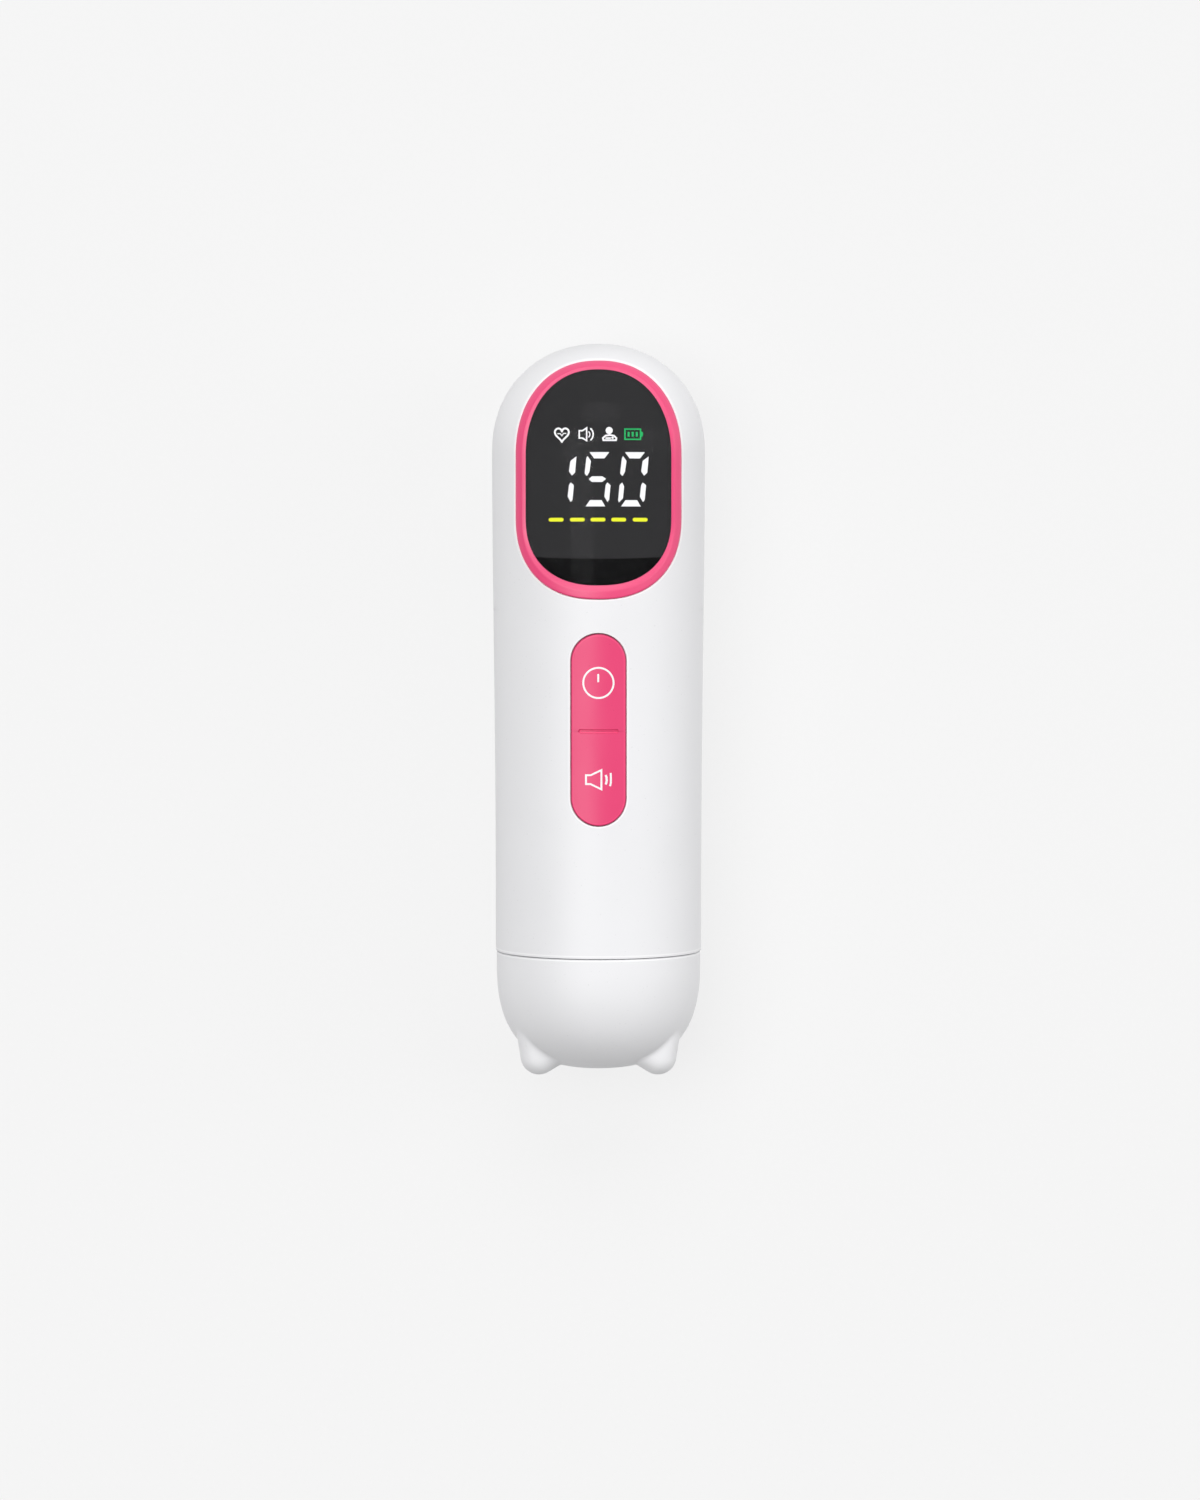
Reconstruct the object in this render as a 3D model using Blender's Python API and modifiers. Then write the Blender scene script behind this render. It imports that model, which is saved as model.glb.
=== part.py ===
"""A pocket fetal doppler lying on its back, in separate pieces.

The frame: X runs across the body, Y along it from the probe to the crown, Z towards the
display. Pieces are placed about the body's long axis, with Y measured from the seam between
the body and the probe cap, and one empty carries them all to the surface that they lie on.
"""

import math

import bmesh
import bpy
from mathutils import Matrix, Vector

MM = 0.001

# Body
BODY_LENGTH = 131.3 * MM
BODY_RADIUS = 23.0 * MM
SEAM_TAPER = 0.4 * MM
SEAM_RADIUS = BODY_RADIUS - SEAM_TAPER
CROWN_HEIGHT = 23.1 * MM
CROWN_POWER = 2.1
WALL = 2.0 * MM
SEAM_CHAMFER = 0.4 * MM
FLAT_DEPTH = 1.5 * MM
BACK_FLAT = BODY_RADIUS - FLAT_DEPTH
FIT = 0.3 * MM
RIB_FROM_SEAM = 3.9 * MM
RIB_WIDTH = 1.2 * MM
RIB_DEPTH = 1.4 * MM
INNER_FLAT_FROM_SEAM = 10.0 * MM

# Probe cap
CAP_STEP = 0.2 * MM
CAP_RADIUS = SEAM_RADIUS - CAP_STEP
CAP_SKIRT = 5.1 * MM
CAP_DOME = 20.1 * MM
CAP_POWER = 2.4
CAP_WALL = 1.7 * MM
SEAM_GAP = 0.4 * MM
EAR_RADIUS = 4.0 * MM
EAR_INSET = 9.44 * MM
EAR_RISE = 2.14 * MM
EAR_SPREAD = CAP_RADIUS - EAR_INSET
EAR_DROP = CAP_SKIRT + CAP_DOME - EAR_RISE
EAR_FLARE = math.radians(28)
EAR_TILT = math.radians(28)
EAR_REACH = 6.0 * MM

# Display
RING_SIDE_MARGIN = 5.2 * MM
RING_CROWN_MARGIN = 2.7 * MM
RING_STRAIGHT = 13.0 * MM
RING_FALL = 17.3 * MM
RING_SIDE = 2.25 * MM
RING_TOP = 1.9 * MM
RING_BOTTOM = 3.1 * MM
RING_TOP_POWER = 2.2
RING_BOTTOM_POWER = 2.4
RING_PROUD = 0.4 * MM
RING_FLANGE = 1.2 * MM
RING_FLANGE_THICKNESS = 1.2 * MM
LENS_SINK = 0.2 * MM
LENS_THICKNESS = 1.8 * MM
MASK_THICKNESS = 0.5 * MM
PANEL_THICKNESS = 1.2 * MM
PANEL_INSET = 2.5 * MM
PANEL_BELOW_STRAIGHT = 2.7 * MM
PANEL_ABOVE_STRAIGHT = 7.3 * MM
BACKLIGHT_THICKNESS = 1.0 * MM
BACKLIGHT_BORDER = 0.5 * MM
RIBBON_THICKNESS = 0.3 * MM
PANEL_RIBBON_WIDTH = 10.0 * MM
PANEL_RIBBON_LENGTH = 7.0 * MM

# Key strip
KEY_LENGTH = 41.6 * MM
KEY_HALF_WIDTH = 6.0 * MM
KEY_BELOW_RING = 7.7 * MM
KEY_PROUD = 0.3 * MM
KEY_WALL = 2.9 * MM
KEY_FLANGE = 0.9 * MM
KEY_FLANGE_THICKNESS = 0.7 * MM
KEY_FLANGE_SETBACK = 1.0 * MM
DIVIDER_LENGTH = 8.5 * MM
DIVIDER_WIDTH = 0.9 * MM
DIVIDER_DEPTH = 0.5 * MM
STEM_RADIUS = 1.6 * MM
STEM_FROM_DIVIDER = 12.5 * MM
RETAINER_HALF_WIDTH = 7.5 * MM
RETAINER_THICKNESS = 1.0 * MM
RETAINER_DEPTH = 3.1 * MM
RETAINER_BOSS_RADIUS = 2.0 * MM
RETAINER_BOSS_FROM_KEY = 2.6 * MM
PIVOT_HALF_WIDTH = 3.0 * MM
PIVOT_THICKNESS = 1.6 * MM

# Key switches
SWITCH_HALF_WIDTH = 3.0 * MM
SWITCH_HEIGHT = 2.8 * MM
SWITCH_BORE_DEPTH = 1.6 * MM
PLUNGER_RADIUS = 1.5 * MM

# Main board
BOARD_DEPTH = 9.2 * MM
BOARD_THICKNESS = 1.2 * MM
BOARD_MARGIN = 2.7 * MM
BOARD_ABOVE_HOUSING = 13.0 * MM
BOARD_ABOVE_STRAIGHT = 3.8 * MM
BOARD_POST_RADIUS = 2.2 * MM
BOARD_POST_INSET = 3.0 * MM
BOARD_POST_BELOW_KEY = 1.6 * MM
BOARD_POST_ABOVE_KEY = 3.8 * MM
CHIP_HEIGHT = 1.2 * MM
PROCESSOR_SIDE = 9.0 * MM
AMPLIFIER_WIDTH = 6.0 * MM
AMPLIFIER_LENGTH = 5.0 * MM
CAN_WIDTH = 16.0 * MM
CAN_LENGTH = 12.0 * MM
CAN_HEIGHT = 2.2 * MM
SOCKET_WIDTH = 6.0 * MM
SOCKET_LENGTH = 5.0 * MM
SOCKET_HEIGHT = 3.5 * MM
SOCKET_EDGE = 1.9 * MM

# Screws
HEAD_HEIGHT = 1.3 * MM
HEAD_TOP_SHARE = 0.7
BIG_HEAD_RADIUS = 2.0 * MM
BIG_SHANK_RADIUS = 0.9 * MM
SMALL_HEAD_RADIUS = 1.6 * MM
SMALL_SHANK_RADIUS = 0.8 * MM
BIG_SHANK_LENGTH = 13.3 * MM
BOARD_SHANK_LENGTH = 5.6 * MM
SMALL_SHANK_LENGTH = 3.6 * MM
PORT_SHANK_LENGTH = 5.5 * MM
SHELL_SCREW_INSET = 3.7 * MM
SHELL_SCREW_FROM_SEAM = 14.0 * MM
SHELL_SCREW_ABOVE_RING = 2.1 * MM
SHELL_POST_REAR = 3.2 * MM
SHELL_POST_FRONT = 2.4 * MM
COUNTERBORE_FLOOR = 7.0 * MM

# Ports
PORT_BOARD_FRONT = 4.8 * MM
PORT_BOARD_WIDTH = 10.0 * MM
PORT_BOARD_LENGTH = 32.0 * MM
PORT_BOARD_MARGIN = 1.7 * MM
PORT_POST_RADIUS = 2.0 * MM
PORT_SPACING = 16.2 * MM
USB_WIDTH = 9.0 * MM
USB_HEIGHT = 3.2 * MM
USB_DEPTH = 7.0 * MM
USB_WALL = 0.35 * MM
USB_TONGUE = 0.7 * MM
USB_RECESS = 2.6 * MM
JACK_BLOCK = 5.4 * MM
JACK_LENGTH = 7.0 * MM
JACK_BARREL_RADIUS = 2.5 * MM
JACK_BARREL_LENGTH = 2.8 * MM
JACK_BORE_RADIUS = 1.8 * MM
PORT_RIBBON_WIDTH = 6.0 * MM

# Battery
CELL_RADIUS = 7.1 * MM
CELL_LENGTH = 50.0 * MM
CELL_BELOW_KEY = 3.1 * MM
CELL_BUTTON_RADIUS = 3.0 * MM
CELL_BUTTON_HEIGHT = 1.0 * MM
CELL_EDGE = 0.6 * MM
CRADLE_FLOOR = 0.9 * MM
CRADLE_HALF_WIDTH = 8.6 * MM
CRADLE_HEIGHT = 7.7 * MM
CRADLE_INSET = 1.5 * MM
WIRE_RADIUS = 0.5 * MM

# Loudspeaker
SPEAKER_RADIUS = 12.0 * MM
SPEAKER_DEPTH = 3.6 * MM
SPEAKER_RIM = 1.2 * MM
SPEAKER_SHEET = 0.8 * MM
SPEAKER_ABOVE_CELL = 4.5 * MM
SPEAKER_FROM_FLAT = 2.6 * MM
SEAT_WIDTH = 1.9 * MM
MAGNET_RADIUS = 6.5 * MM
MAGNET_HEIGHT = 4.0 * MM
CONE_SHEET = 0.4 * MM
COIL_RADIUS = 3.3 * MM
MESH_RADIUS = 7.0 * MM
MESH_THICKNESS = 0.3 * MM
GRILLE_HOLE = 0.75 * MM
GRILLE_PITCH = 2.7 * MM

# Probe
COLLAR_LENGTH = 8.0 * MM
NOSE_LENGTH = 14.2 * MM
NOSE_ROOM = 3.1 * MM
NOSE_RADIUS = CAP_RADIUS - CAP_WALL - NOSE_ROOM
NOSE_LIP = 1.8 * MM
LIP_HEIGHT = 1.8 * MM
HOUSING_WALL = 3.0 * MM
HOUSING_ABOVE_SEAM = 9.0 * MM
FACE_EDGE = 1.2 * MM
FACE_CROWN = 1.1 * MM
CRYSTAL_THICKNESS = 0.6 * MM
CRYSTAL_INSET = 1.0 * MM
CRYSTAL_SPLIT = 0.8 * MM
BACKING_HEIGHT = 5.0 * MM
RING_FROM_SEAM = 4.0 * MM
GRIP_RING_WIRE = 0.55 * MM

# How finely round shapes are divided
BODY_STEPS = 40
PROBE_STEPS = 32
MID_STEPS = 20
SMALL_STEPS = 10
HOLE_STEPS = 8
RING_SIDES = 6
ARC_POINTS = 7
PLAN_POINTS = 10
OVERRUN = 6.0 * MM
SHARP_ANGLE = math.radians(35)
MERGE = 0.01 * MM

WHITE = (0.86, 0.86, 0.87)
PINK = (0.86, 0.14, 0.28)
BLACK = (0.03, 0.03, 0.03)
STEEL = (0.62, 0.62, 0.64)
GREEN = (0.05, 0.24, 0.12)
GOLD = (0.80, 0.60, 0.25)
GREY = (0.35, 0.35, 0.36)
RED = (0.60, 0.04, 0.03)
AMBER = (0.55, 0.30, 0.08)
IVORY = (0.75, 0.70, 0.58)
CELL_BLUE = (0.05, 0.14, 0.42)
PALE_GREY = (0.72, 0.72, 0.73)

# Places worked out from the sizes above
INNER_RADIUS = BODY_RADIUS - WALL
STRAIGHT_TOP = BODY_LENGTH - CROWN_HEIGHT
STRAIGHT_FOOT = STRAIGHT_TOP - RING_STRAIGHT
RING_HALF_WIDTH = BODY_RADIUS - RING_SIDE_MARGIN
RING_RISE = CROWN_HEIGHT - RING_CROWN_MARGIN
RING_LOW = STRAIGHT_FOOT - RING_FALL
KEY_HIGH = RING_LOW - KEY_BELOW_RING
KEY_LOW = KEY_HIGH - KEY_LENGTH
DIVIDER = KEY_HIGH - KEY_LENGTH / 2
BOARD_FRONT = INNER_RADIUS - BOARD_DEPTH
BOARD_BACK = BOARD_FRONT - BOARD_THICKNESS
BOARD_LOW = HOUSING_ABOVE_SEAM + BOARD_ABOVE_HOUSING
BOARD_HIGH = STRAIGHT_TOP + BOARD_ABOVE_STRAIGHT
PARTS_ON_BOARD = BOARD_BACK - FIT
RETAINER_FRONT = INNER_RADIUS - RETAINER_DEPTH
RETAINER_BACK = RETAINER_FRONT - RETAINER_THICKNESS
STEM_END = RETAINER_BACK - FIT
SWITCH_FRONT = BOARD_FRONT + FIT + SWITCH_HEIGHT
INNER_FLAT = BACK_FLAT - WALL
CELL_AXIS = -(INNER_FLAT - FIT - CRADLE_FLOOR - FIT - CELL_RADIUS)
CELL_LOW = KEY_LOW - CELL_BELOW_KEY
CELL_HIGH = CELL_LOW + CELL_LENGTH
SPEAKER_CENTRE = CELL_HIGH + SPEAKER_ABOVE_CELL + SPEAKER_RADIUS
SPEAKER_FACE = -(INNER_FLAT - SPEAKER_FROM_FLAT)
SHELL_SCREW_X = INNER_RADIUS - SHELL_SCREW_INSET
SHELL_SCREW_HIGH = RING_LOW + SHELL_SCREW_ABOVE_RING
PORT_BOARD_BACK = PORT_BOARD_FRONT + BOARD_THICKNESS
COLLAR_RADIUS = SEAM_RADIUS - WALL - FIT


def chord(radius, height):
    """Half the width of a circle at a height above its middle."""
    return math.sqrt(radius**2 - height**2)


BOARD_HALF_WIDTH = chord(INNER_RADIUS - BOARD_MARGIN, BOARD_FRONT)
BOARD_POST_X = BOARD_HALF_WIDTH - BOARD_POST_INSET
BOARD_POST_PLACES = [
    (side * BOARD_POST_X, along)
    for along in (KEY_LOW - BOARD_POST_BELOW_KEY, KEY_HIGH + BOARD_POST_ABOVE_KEY)
    for side in (-1, 1)
]
RETAINER_BOSSES = [
    (0, KEY_LOW - RETAINER_BOSS_FROM_KEY - KEY_FLANGE),
    (0, KEY_HIGH + RETAINER_BOSS_FROM_KEY + KEY_FLANGE),
]
SHELL_SCREW_PLACES = [
    (side * SHELL_SCREW_X, along)
    for along in (SHELL_SCREW_FROM_SEAM, SHELL_SCREW_HIGH)
    for side in (-1, 1)
]
PORT_BOARD_RIGHT = chord(INNER_RADIUS, PORT_BOARD_BACK) - PORT_BOARD_MARGIN + FIT
PORT_BOARD_LEFT = PORT_BOARD_RIGHT - PORT_BOARD_WIDTH
PORT_BOARD_LOW = CELL_LOW + BOARD_POST_INSET
PORT_BOARD_HIGH = PORT_BOARD_LOW + PORT_BOARD_LENGTH
JACK_ALONG = PORT_BOARD_LOW + JACK_BLOCK
JACK_AXIS = -(PORT_BOARD_BACK + FIT + JACK_BLOCK / 2)
USB_ALONG = JACK_ALONG + PORT_SPACING
USB_AXIS = -(PORT_BOARD_BACK + FIT + USB_HEIGHT / 2)
PORT_POST_PLACES = [
    (PORT_BOARD_LEFT + PORT_POST_RADIUS + FIT, (JACK_ALONG + USB_ALONG) / 2),
    (PORT_BOARD_LEFT + PORT_POST_RADIUS + FIT, PORT_BOARD_HIGH - PORT_POST_RADIUS - FIT),
]


def body_radius(along):
    """The tapering side's radius at a distance from the seam."""
    return SEAM_RADIUS + (BODY_RADIUS - SEAM_RADIUS) * along / STRAIGHT_TOP


def quarter(half_width, height, power, count):
    """A superellipse's quarter, from its top on the axis out to its side."""
    turns = [math.pi / 2 * (1 - step / count) for step in range(count + 1)]
    return [
        (half_width * math.cos(turn) ** (2 / power), height * math.sin(turn) ** (2 / power))
        for turn in turns[1:]
    ]


def body_outline(offset, foot):
    """The body's profile grown by an offset, from the crown down to a foot."""
    crown = quarter(BODY_RADIUS + offset, CROWN_HEIGHT + offset, CROWN_POWER, ARC_POINTS)
    points = [(0, BODY_LENGTH + offset)]
    points += [(radius, STRAIGHT_TOP + rise) for radius, rise in crown]
    points += [(body_radius(foot) + offset, foot), (0, foot)]
    return points


def ring_plan(grow, inset_side=0, inset_top=0, inset_bottom=0):
    """The display ring's outline seen from the front, grown or inset."""
    half = RING_HALF_WIDTH + grow - inset_side
    rise = RING_RISE + grow - inset_top
    fall = RING_FALL + grow - inset_bottom
    top = quarter(half, rise, RING_TOP_POWER, PLAN_POINTS)
    bottom = quarter(half, fall, RING_BOTTOM_POWER, PLAN_POINTS)
    right = [(x, STRAIGHT_TOP + y) for x, y in top]
    right += [(x, STRAIGHT_FOOT - y) for x, y in reversed(bottom)]
    left = [(-x, y) for x, y in reversed(right)]
    return [(0, STRAIGHT_TOP + rise)] + right + [(0, STRAIGHT_FOOT - fall)] + left


def window_plan(grow):
    """The display window's outline seen from the front."""
    return ring_plan(grow, RING_SIDE, RING_TOP, RING_BOTTOM)


def stadium(half_width, low, high, count=PLAN_POINTS):
    """A slot's outline with round ends, from low to high along the body."""
    turns = [math.pi * step / count for step in range(count + 1)]
    top = [
        (half_width * math.cos(turn), high - half_width + half_width * math.sin(turn))
        for turn in turns
    ]
    bottom = [(-x, low + high - y) for x, y in top]
    return top + bottom


def clear_scene():
    """Removes what the scene holds."""
    for thing in list(bpy.data.objects):
        bpy.data.objects.remove(thing)


def finish(name, colour, roughness=0.5, metallic=0.0):
    """A material of one finish."""
    material = bpy.data.materials.new(name)
    material.use_nodes = True
    shader = material.node_tree.nodes["Principled BSDF"]
    shader.inputs["Base Color"].default_value = (*colour, 1)
    shader.inputs["Roughness"].default_value = roughness
    shader.inputs["Metallic"].default_value = metallic
    return material


class Bench:
    """The collections and the empty that the pieces belong to."""

    def __init__(self):
        clear_scene()
        self.parts = bpy.data.collections.new("fetal_doppler")
        self.cutters = bpy.data.collections.new("cutters")
        scene = bpy.context.scene.collection
        scene.children.link(self.parts)
        scene.children.link(self.cutters)
        self.cutters.hide_render = True
        self.count = 0
        self.base = self.empty("doppler", Vector((0, -self.middle(), BACK_FLAT)), None)

    def middle(self):
        """How far the middle of the whole length is from the seam."""
        return (BODY_LENGTH - EAR_DROP - EAR_RADIUS) / 2

    def empty(self, name, place, parent):
        """An empty that carries pieces."""
        carrier = bpy.data.objects.new(name, None)
        carrier.location = place
        carrier.parent = parent
        self.parts.objects.link(carrier)
        return carrier

    def pivot(self, name, place):
        """An empty on a joint's axis."""
        return self.empty(name, Vector(place), self.base)

    def tool(self, mesh):
        """A shape that cuts, joins or trims a piece."""
        self.count += 1
        helper = bpy.data.objects.new(f"cutter_{self.count}", mesh)
        helper.hide_render = True
        helper.display_type = "WIRE"
        helper.parent = self.base
        self.cutters.objects.link(helper)
        return helper

    def piece(self, name, shape, material, carrier=None):
        """Makes a tool's shape a piece of the doppler, on its carrier."""
        mesh = settled(shape)
        mesh.materials.clear()
        mesh.materials.append(material)
        part = bpy.data.objects.new(name, mesh)
        part.parent = carrier or self.base
        if carrier:
            part.location = -carrier.location
        self.parts.objects.link(part)
        return part


def settled(shape):
    """A shape's mesh with its modifiers worked in and round faces smooth."""
    bpy.context.view_layer.update()
    graph = bpy.context.evaluated_depsgraph_get()
    mesh = bpy.data.meshes.new_from_object(shape.evaluated_get(graph))
    mesh.transform(shape.matrix_basis)
    mesh.shade_smooth()
    mesh.set_sharp_from_angle(angle=SHARP_ANGLE)
    return mesh


def mesh_of(shape):
    """Closes a bmesh into a mesh."""
    mesh = bpy.data.meshes.new("shape")
    shape.to_mesh(mesh)
    shape.free()
    return mesh


def modify(shape, other, operation):
    """A Boolean with another shape."""
    boolean = shape.modifiers.new(operation.lower(), "BOOLEAN")
    boolean.operation = operation
    boolean.solver = "EXACT"
    boolean.object = other
    return shape


def cut(shape, *others):
    """Takes other shapes out of a shape."""
    for other in others:
        modify(shape, other, "DIFFERENCE")
    return shape


def join(shape, *others):
    """Joins other shapes onto a shape."""
    for other in others:
        modify(shape, other, "UNION")
    return shape


def trim(shape, *others):
    """Keeps what a shape shares with other shapes."""
    for other in others:
        modify(shape, other, "INTERSECT")
    return shape


def simpler_booleans(shape):
    """Uses the manifold solver, where the exact one leaves faces out."""
    for modifier in shape.modifiers:
        if modifier.type == "BOOLEAN":
            modifier.solver = "MANIFOLD"
    return shape


def turned(bench, outline, axis="Y", steps=BODY_STEPS, loop=False):
    """A profile of (radius, along) points turned about an axis."""
    shape = bmesh.new()
    if axis == "Y":
        points = [shape.verts.new((radius, along, 0)) for radius, along in outline]
    else:
        points = [shape.verts.new((radius, 0, along)) for radius, along in outline]
    pairs = list(zip(points, points[1:]))
    if loop:
        pairs.append((points[-1], points[0]))
    for first, second in pairs:
        shape.edges.new((first, second))
    part = bench.tool(mesh_of(shape))
    screw = part.modifiers.new("turn", "SCREW")
    screw.axis = axis
    screw.steps = steps
    screw.render_steps = steps
    screw.use_merge_vertices = True
    screw.merge_threshold = MERGE
    return part


def placed(part, place, turn=None):
    """Moves a shape's mesh to its place."""
    part.location = Vector(place)
    if turn:
        part.rotation_euler = turn
    return part


def capsule(bench, offset):
    """The body's outer form grown by an offset, a little past its seam."""
    return turned(bench, body_outline(offset, -OVERRUN))


def prism(bench, plan, low, high):
    """A front outline drawn out from one height above the axis to another."""
    shape = bmesh.new()
    corners = [shape.verts.new((x, y, low)) for x, y in plan]
    bmesh.ops.remove_doubles(shape, verts=corners, dist=MERGE)
    face = bmesh.ops.contextual_create(shape, geom=shape.verts[:])["faces"]
    grown = bmesh.ops.extrude_face_region(shape, geom=face)["geom"]
    top = [item for item in grown if isinstance(item, bmesh.types.BMVert)]
    bmesh.ops.translate(shape, verts=top, vec=(0, 0, high - low))
    bmesh.ops.recalc_face_normals(shape, faces=shape.faces)
    return bench.tool(mesh_of(shape))


def add_block(shape, x_span, y_span, z_span):
    """Adds a box between three pairs of limits."""
    spans = (x_span, y_span, z_span)
    size = [high - low for low, high in spans]
    middle = Vector([(high + low) / 2 for low, high in spans])
    matrix = Matrix.Translation(middle) @ Matrix.Diagonal((*size, 1))
    bmesh.ops.create_cube(shape, size=1, matrix=matrix)


def block(bench, x_span, y_span, z_span, edge=0):
    """A box, with its edges rounded if an edge radius is given."""
    shape = bmesh.new()
    add_block(shape, x_span, y_span, z_span)
    part = bench.tool(mesh_of(shape))
    if edge:
        bevel = part.modifiers.new("edge", "BEVEL")
        bevel.width = edge
        bevel.segments = 2
    return part


def add_rod(shape, x, y, low, high, radius, steps):
    """Adds a round rod along Z."""
    place = Matrix.Translation((x, y, (low + high) / 2))
    bmesh.ops.create_cone(
        shape, cap_ends=True, segments=steps, radius1=radius, radius2=radius,
        depth=high - low, matrix=place,
    )


def rods(bench, places, low, high, radius, steps=SMALL_STEPS):
    """Round rods along Z at several places."""
    shape = bmesh.new()
    for x, y in places:
        add_rod(shape, x, y, low, high, radius, steps)
    return bench.tool(mesh_of(shape))


def rod_across(bench, y, z, low, high, radius, steps=MID_STEPS):
    """A round rod along X."""
    shape = bmesh.new()
    turn = Matrix.Translation(((low + high) / 2, y, z)) @ Matrix.Rotation(math.pi / 2, 4, "Y")
    bmesh.ops.create_cone(
        shape, cap_ends=True, segments=steps, radius1=radius, radius2=radius,
        depth=high - low, matrix=turn,
    )
    return bench.tool(mesh_of(shape))


def rod_along(bench, x, z, low, high, radius, steps=MID_STEPS):
    """A round rod along Y."""
    shape = bmesh.new()
    turn = Matrix.Translation((x, (low + high) / 2, z)) @ Matrix.Rotation(math.pi / 2, 4, "X")
    bmesh.ops.create_cone(
        shape, cap_ends=True, segments=steps, radius1=radius, radius2=radius,
        depth=high - low, matrix=turn,
    )
    return bench.tool(mesh_of(shape))


def under_back_flat(bench, height, low):
    """The space behind a flat at a height, from low along the body."""
    reach = BODY_RADIUS + OVERRUN
    return block(bench, (-reach, reach), (low, BODY_LENGTH + OVERRUN), (-reach, -height))


def body_cavity(bench):
    """The hollow inside both shells, above the rib that holds the probe housing."""
    hollow = turned(bench, body_outline(-WALL, RIB_FROM_SEAM + RIB_WIDTH))
    return cut(hollow, under_back_flat(bench, INNER_FLAT, INNER_FLAT_FROM_SEAM))


def open_foot(bench, shell):
    """Opens a shell for the probe housing, past the rib that holds it."""
    inside = body_radius(0) - WALL
    rib_top = RIB_FROM_SEAM + RIB_WIDTH
    for radius, top in ((inside, RIB_FROM_SEAM), (inside - RIB_DEPTH, rib_top + FIT)):
        outline = [(0, top), (radius, top), (radius, -OVERRUN), (0, -OVERRUN)]
        cut(shell, turned(bench, outline))


def body_solid(bench):
    """The body's outer form, chamfered at the seam, with its back flat."""
    points = body_outline(0, SEAM_CHAMFER)[:-1]
    points += [(body_radius(0) - SEAM_CHAMFER, 0), (0, 0)]
    solid = turned(bench, points)
    return cut(solid, under_back_flat(bench, BACK_FLAT, -OVERRUN))


def half_space(bench, side):
    """The front half for side 1 or the rear half for side -1."""
    reach = BODY_RADIUS + OVERRUN
    limits = sorted((side * FIT / 2, side * reach))
    return block(bench, (-reach, reach), (-OVERRUN, BODY_LENGTH + OVERRUN), limits)


def build_front_shell(bench, look):
    """The display half of the body with its openings, bosses and posts."""
    depth = INNER_RADIUS / 2
    reach = BODY_RADIUS + OVERRUN
    post_end = BOARD_FRONT + FIT + BOARD_SHANK_LENGTH
    boss_end = RETAINER_FRONT + FIT + SMALL_SHANK_LENGTH - RETAINER_THICKNESS
    screw_end = BIG_SHANK_LENGTH - COUNTERBORE_FLOOR - FIT + SMALL_SHANK_RADIUS
    big_bore = BIG_SHANK_RADIUS + FIT
    hollow = cut(
        body_cavity(bench),
        rods(bench, BOARD_POST_PLACES, BOARD_FRONT + FIT, reach, BOARD_POST_RADIUS),
        rods(bench, RETAINER_BOSSES, RETAINER_FRONT + FIT, reach, RETAINER_BOSS_RADIUS),
        rods(bench, SHELL_SCREW_PLACES, FIT / 2, reach, SHELL_POST_FRONT),
    )
    shell = cut(trim(body_solid(bench), half_space(bench, 1)), hollow)
    open_foot(bench, shell)
    key_hole = stadium(KEY_HALF_WIDTH + FIT, KEY_LOW - FIT, KEY_HIGH + FIT)
    cut(
        shell,
        rods(bench, BOARD_POST_PLACES, BOARD_FRONT, post_end, big_bore),
        rods(bench, RETAINER_BOSSES, RETAINER_FRONT, boss_end, SMALL_SHANK_RADIUS + FIT),
        rods(bench, SHELL_SCREW_PLACES, -FIT, screw_end, big_bore),
        prism(bench, ring_plan(FIT), depth, reach),
        prism(bench, key_hole, depth, reach),
    )
    bench.piece("front_shell", simpler_booleans(shell), look["white"])


def grille_places():
    """The loudspeaker holes: one, a ring of six and a ring of twelve."""
    places = [(0, SPEAKER_CENTRE)]
    for ring, count in ((1, 6), (2, 12)):
        for step in range(count):
            turn = math.tau * step / count
            radius = ring * GRILLE_PITCH
            place = (radius * math.cos(turn), SPEAKER_CENTRE + radius * math.sin(turn))
            places.append(place)
    return places


def build_rear_shell(bench, look):
    """The rear half of the body with its posts, grille and port openings."""
    reach = BODY_RADIUS + OVERRUN
    middle = [(0, SPEAKER_CENTRE)]
    seat = rods(bench, middle, -reach, SPEAKER_FACE - FIT, SPEAKER_RADIUS, MID_STEPS)
    seat_bore = SPEAKER_RADIUS - SEAT_WIDTH
    cut(seat, rods(bench, middle, -reach - FIT, reach, seat_bore, MID_STEPS))
    hollow = cut(
        body_cavity(bench),
        rods(bench, SHELL_SCREW_PLACES, -reach, -FIT / 2, SHELL_POST_REAR),
        rods(bench, PORT_POST_PLACES, -reach, -PORT_BOARD_BACK - FIT, PORT_POST_RADIUS),
        seat,
    )
    shell = cut(trim(body_solid(bench), half_space(bench, -1)), hollow)
    open_foot(bench, shell)
    hole_end = -PORT_BOARD_BACK - PORT_SHANK_LENGTH
    cut(
        shell,
        rods(bench, SHELL_SCREW_PLACES, -reach, FIT, BIG_SHANK_RADIUS + FIT),
        rods(bench, SHELL_SCREW_PLACES, -reach, -COUNTERBORE_FLOOR, BIG_HEAD_RADIUS + FIT),
        rods(bench, PORT_POST_PLACES, hole_end, -PORT_BOARD_BACK, SMALL_SHANK_RADIUS + FIT),
        rods(bench, grille_places(), -reach, -INNER_FLAT + FIT, GRILLE_HOLE, HOLE_STEPS),
        usb_form(bench, FIT, 0, reach),
        jack_hole(bench),
    )
    bench.piece("rear_shell", simpler_booleans(shell), look["white"])


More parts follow.
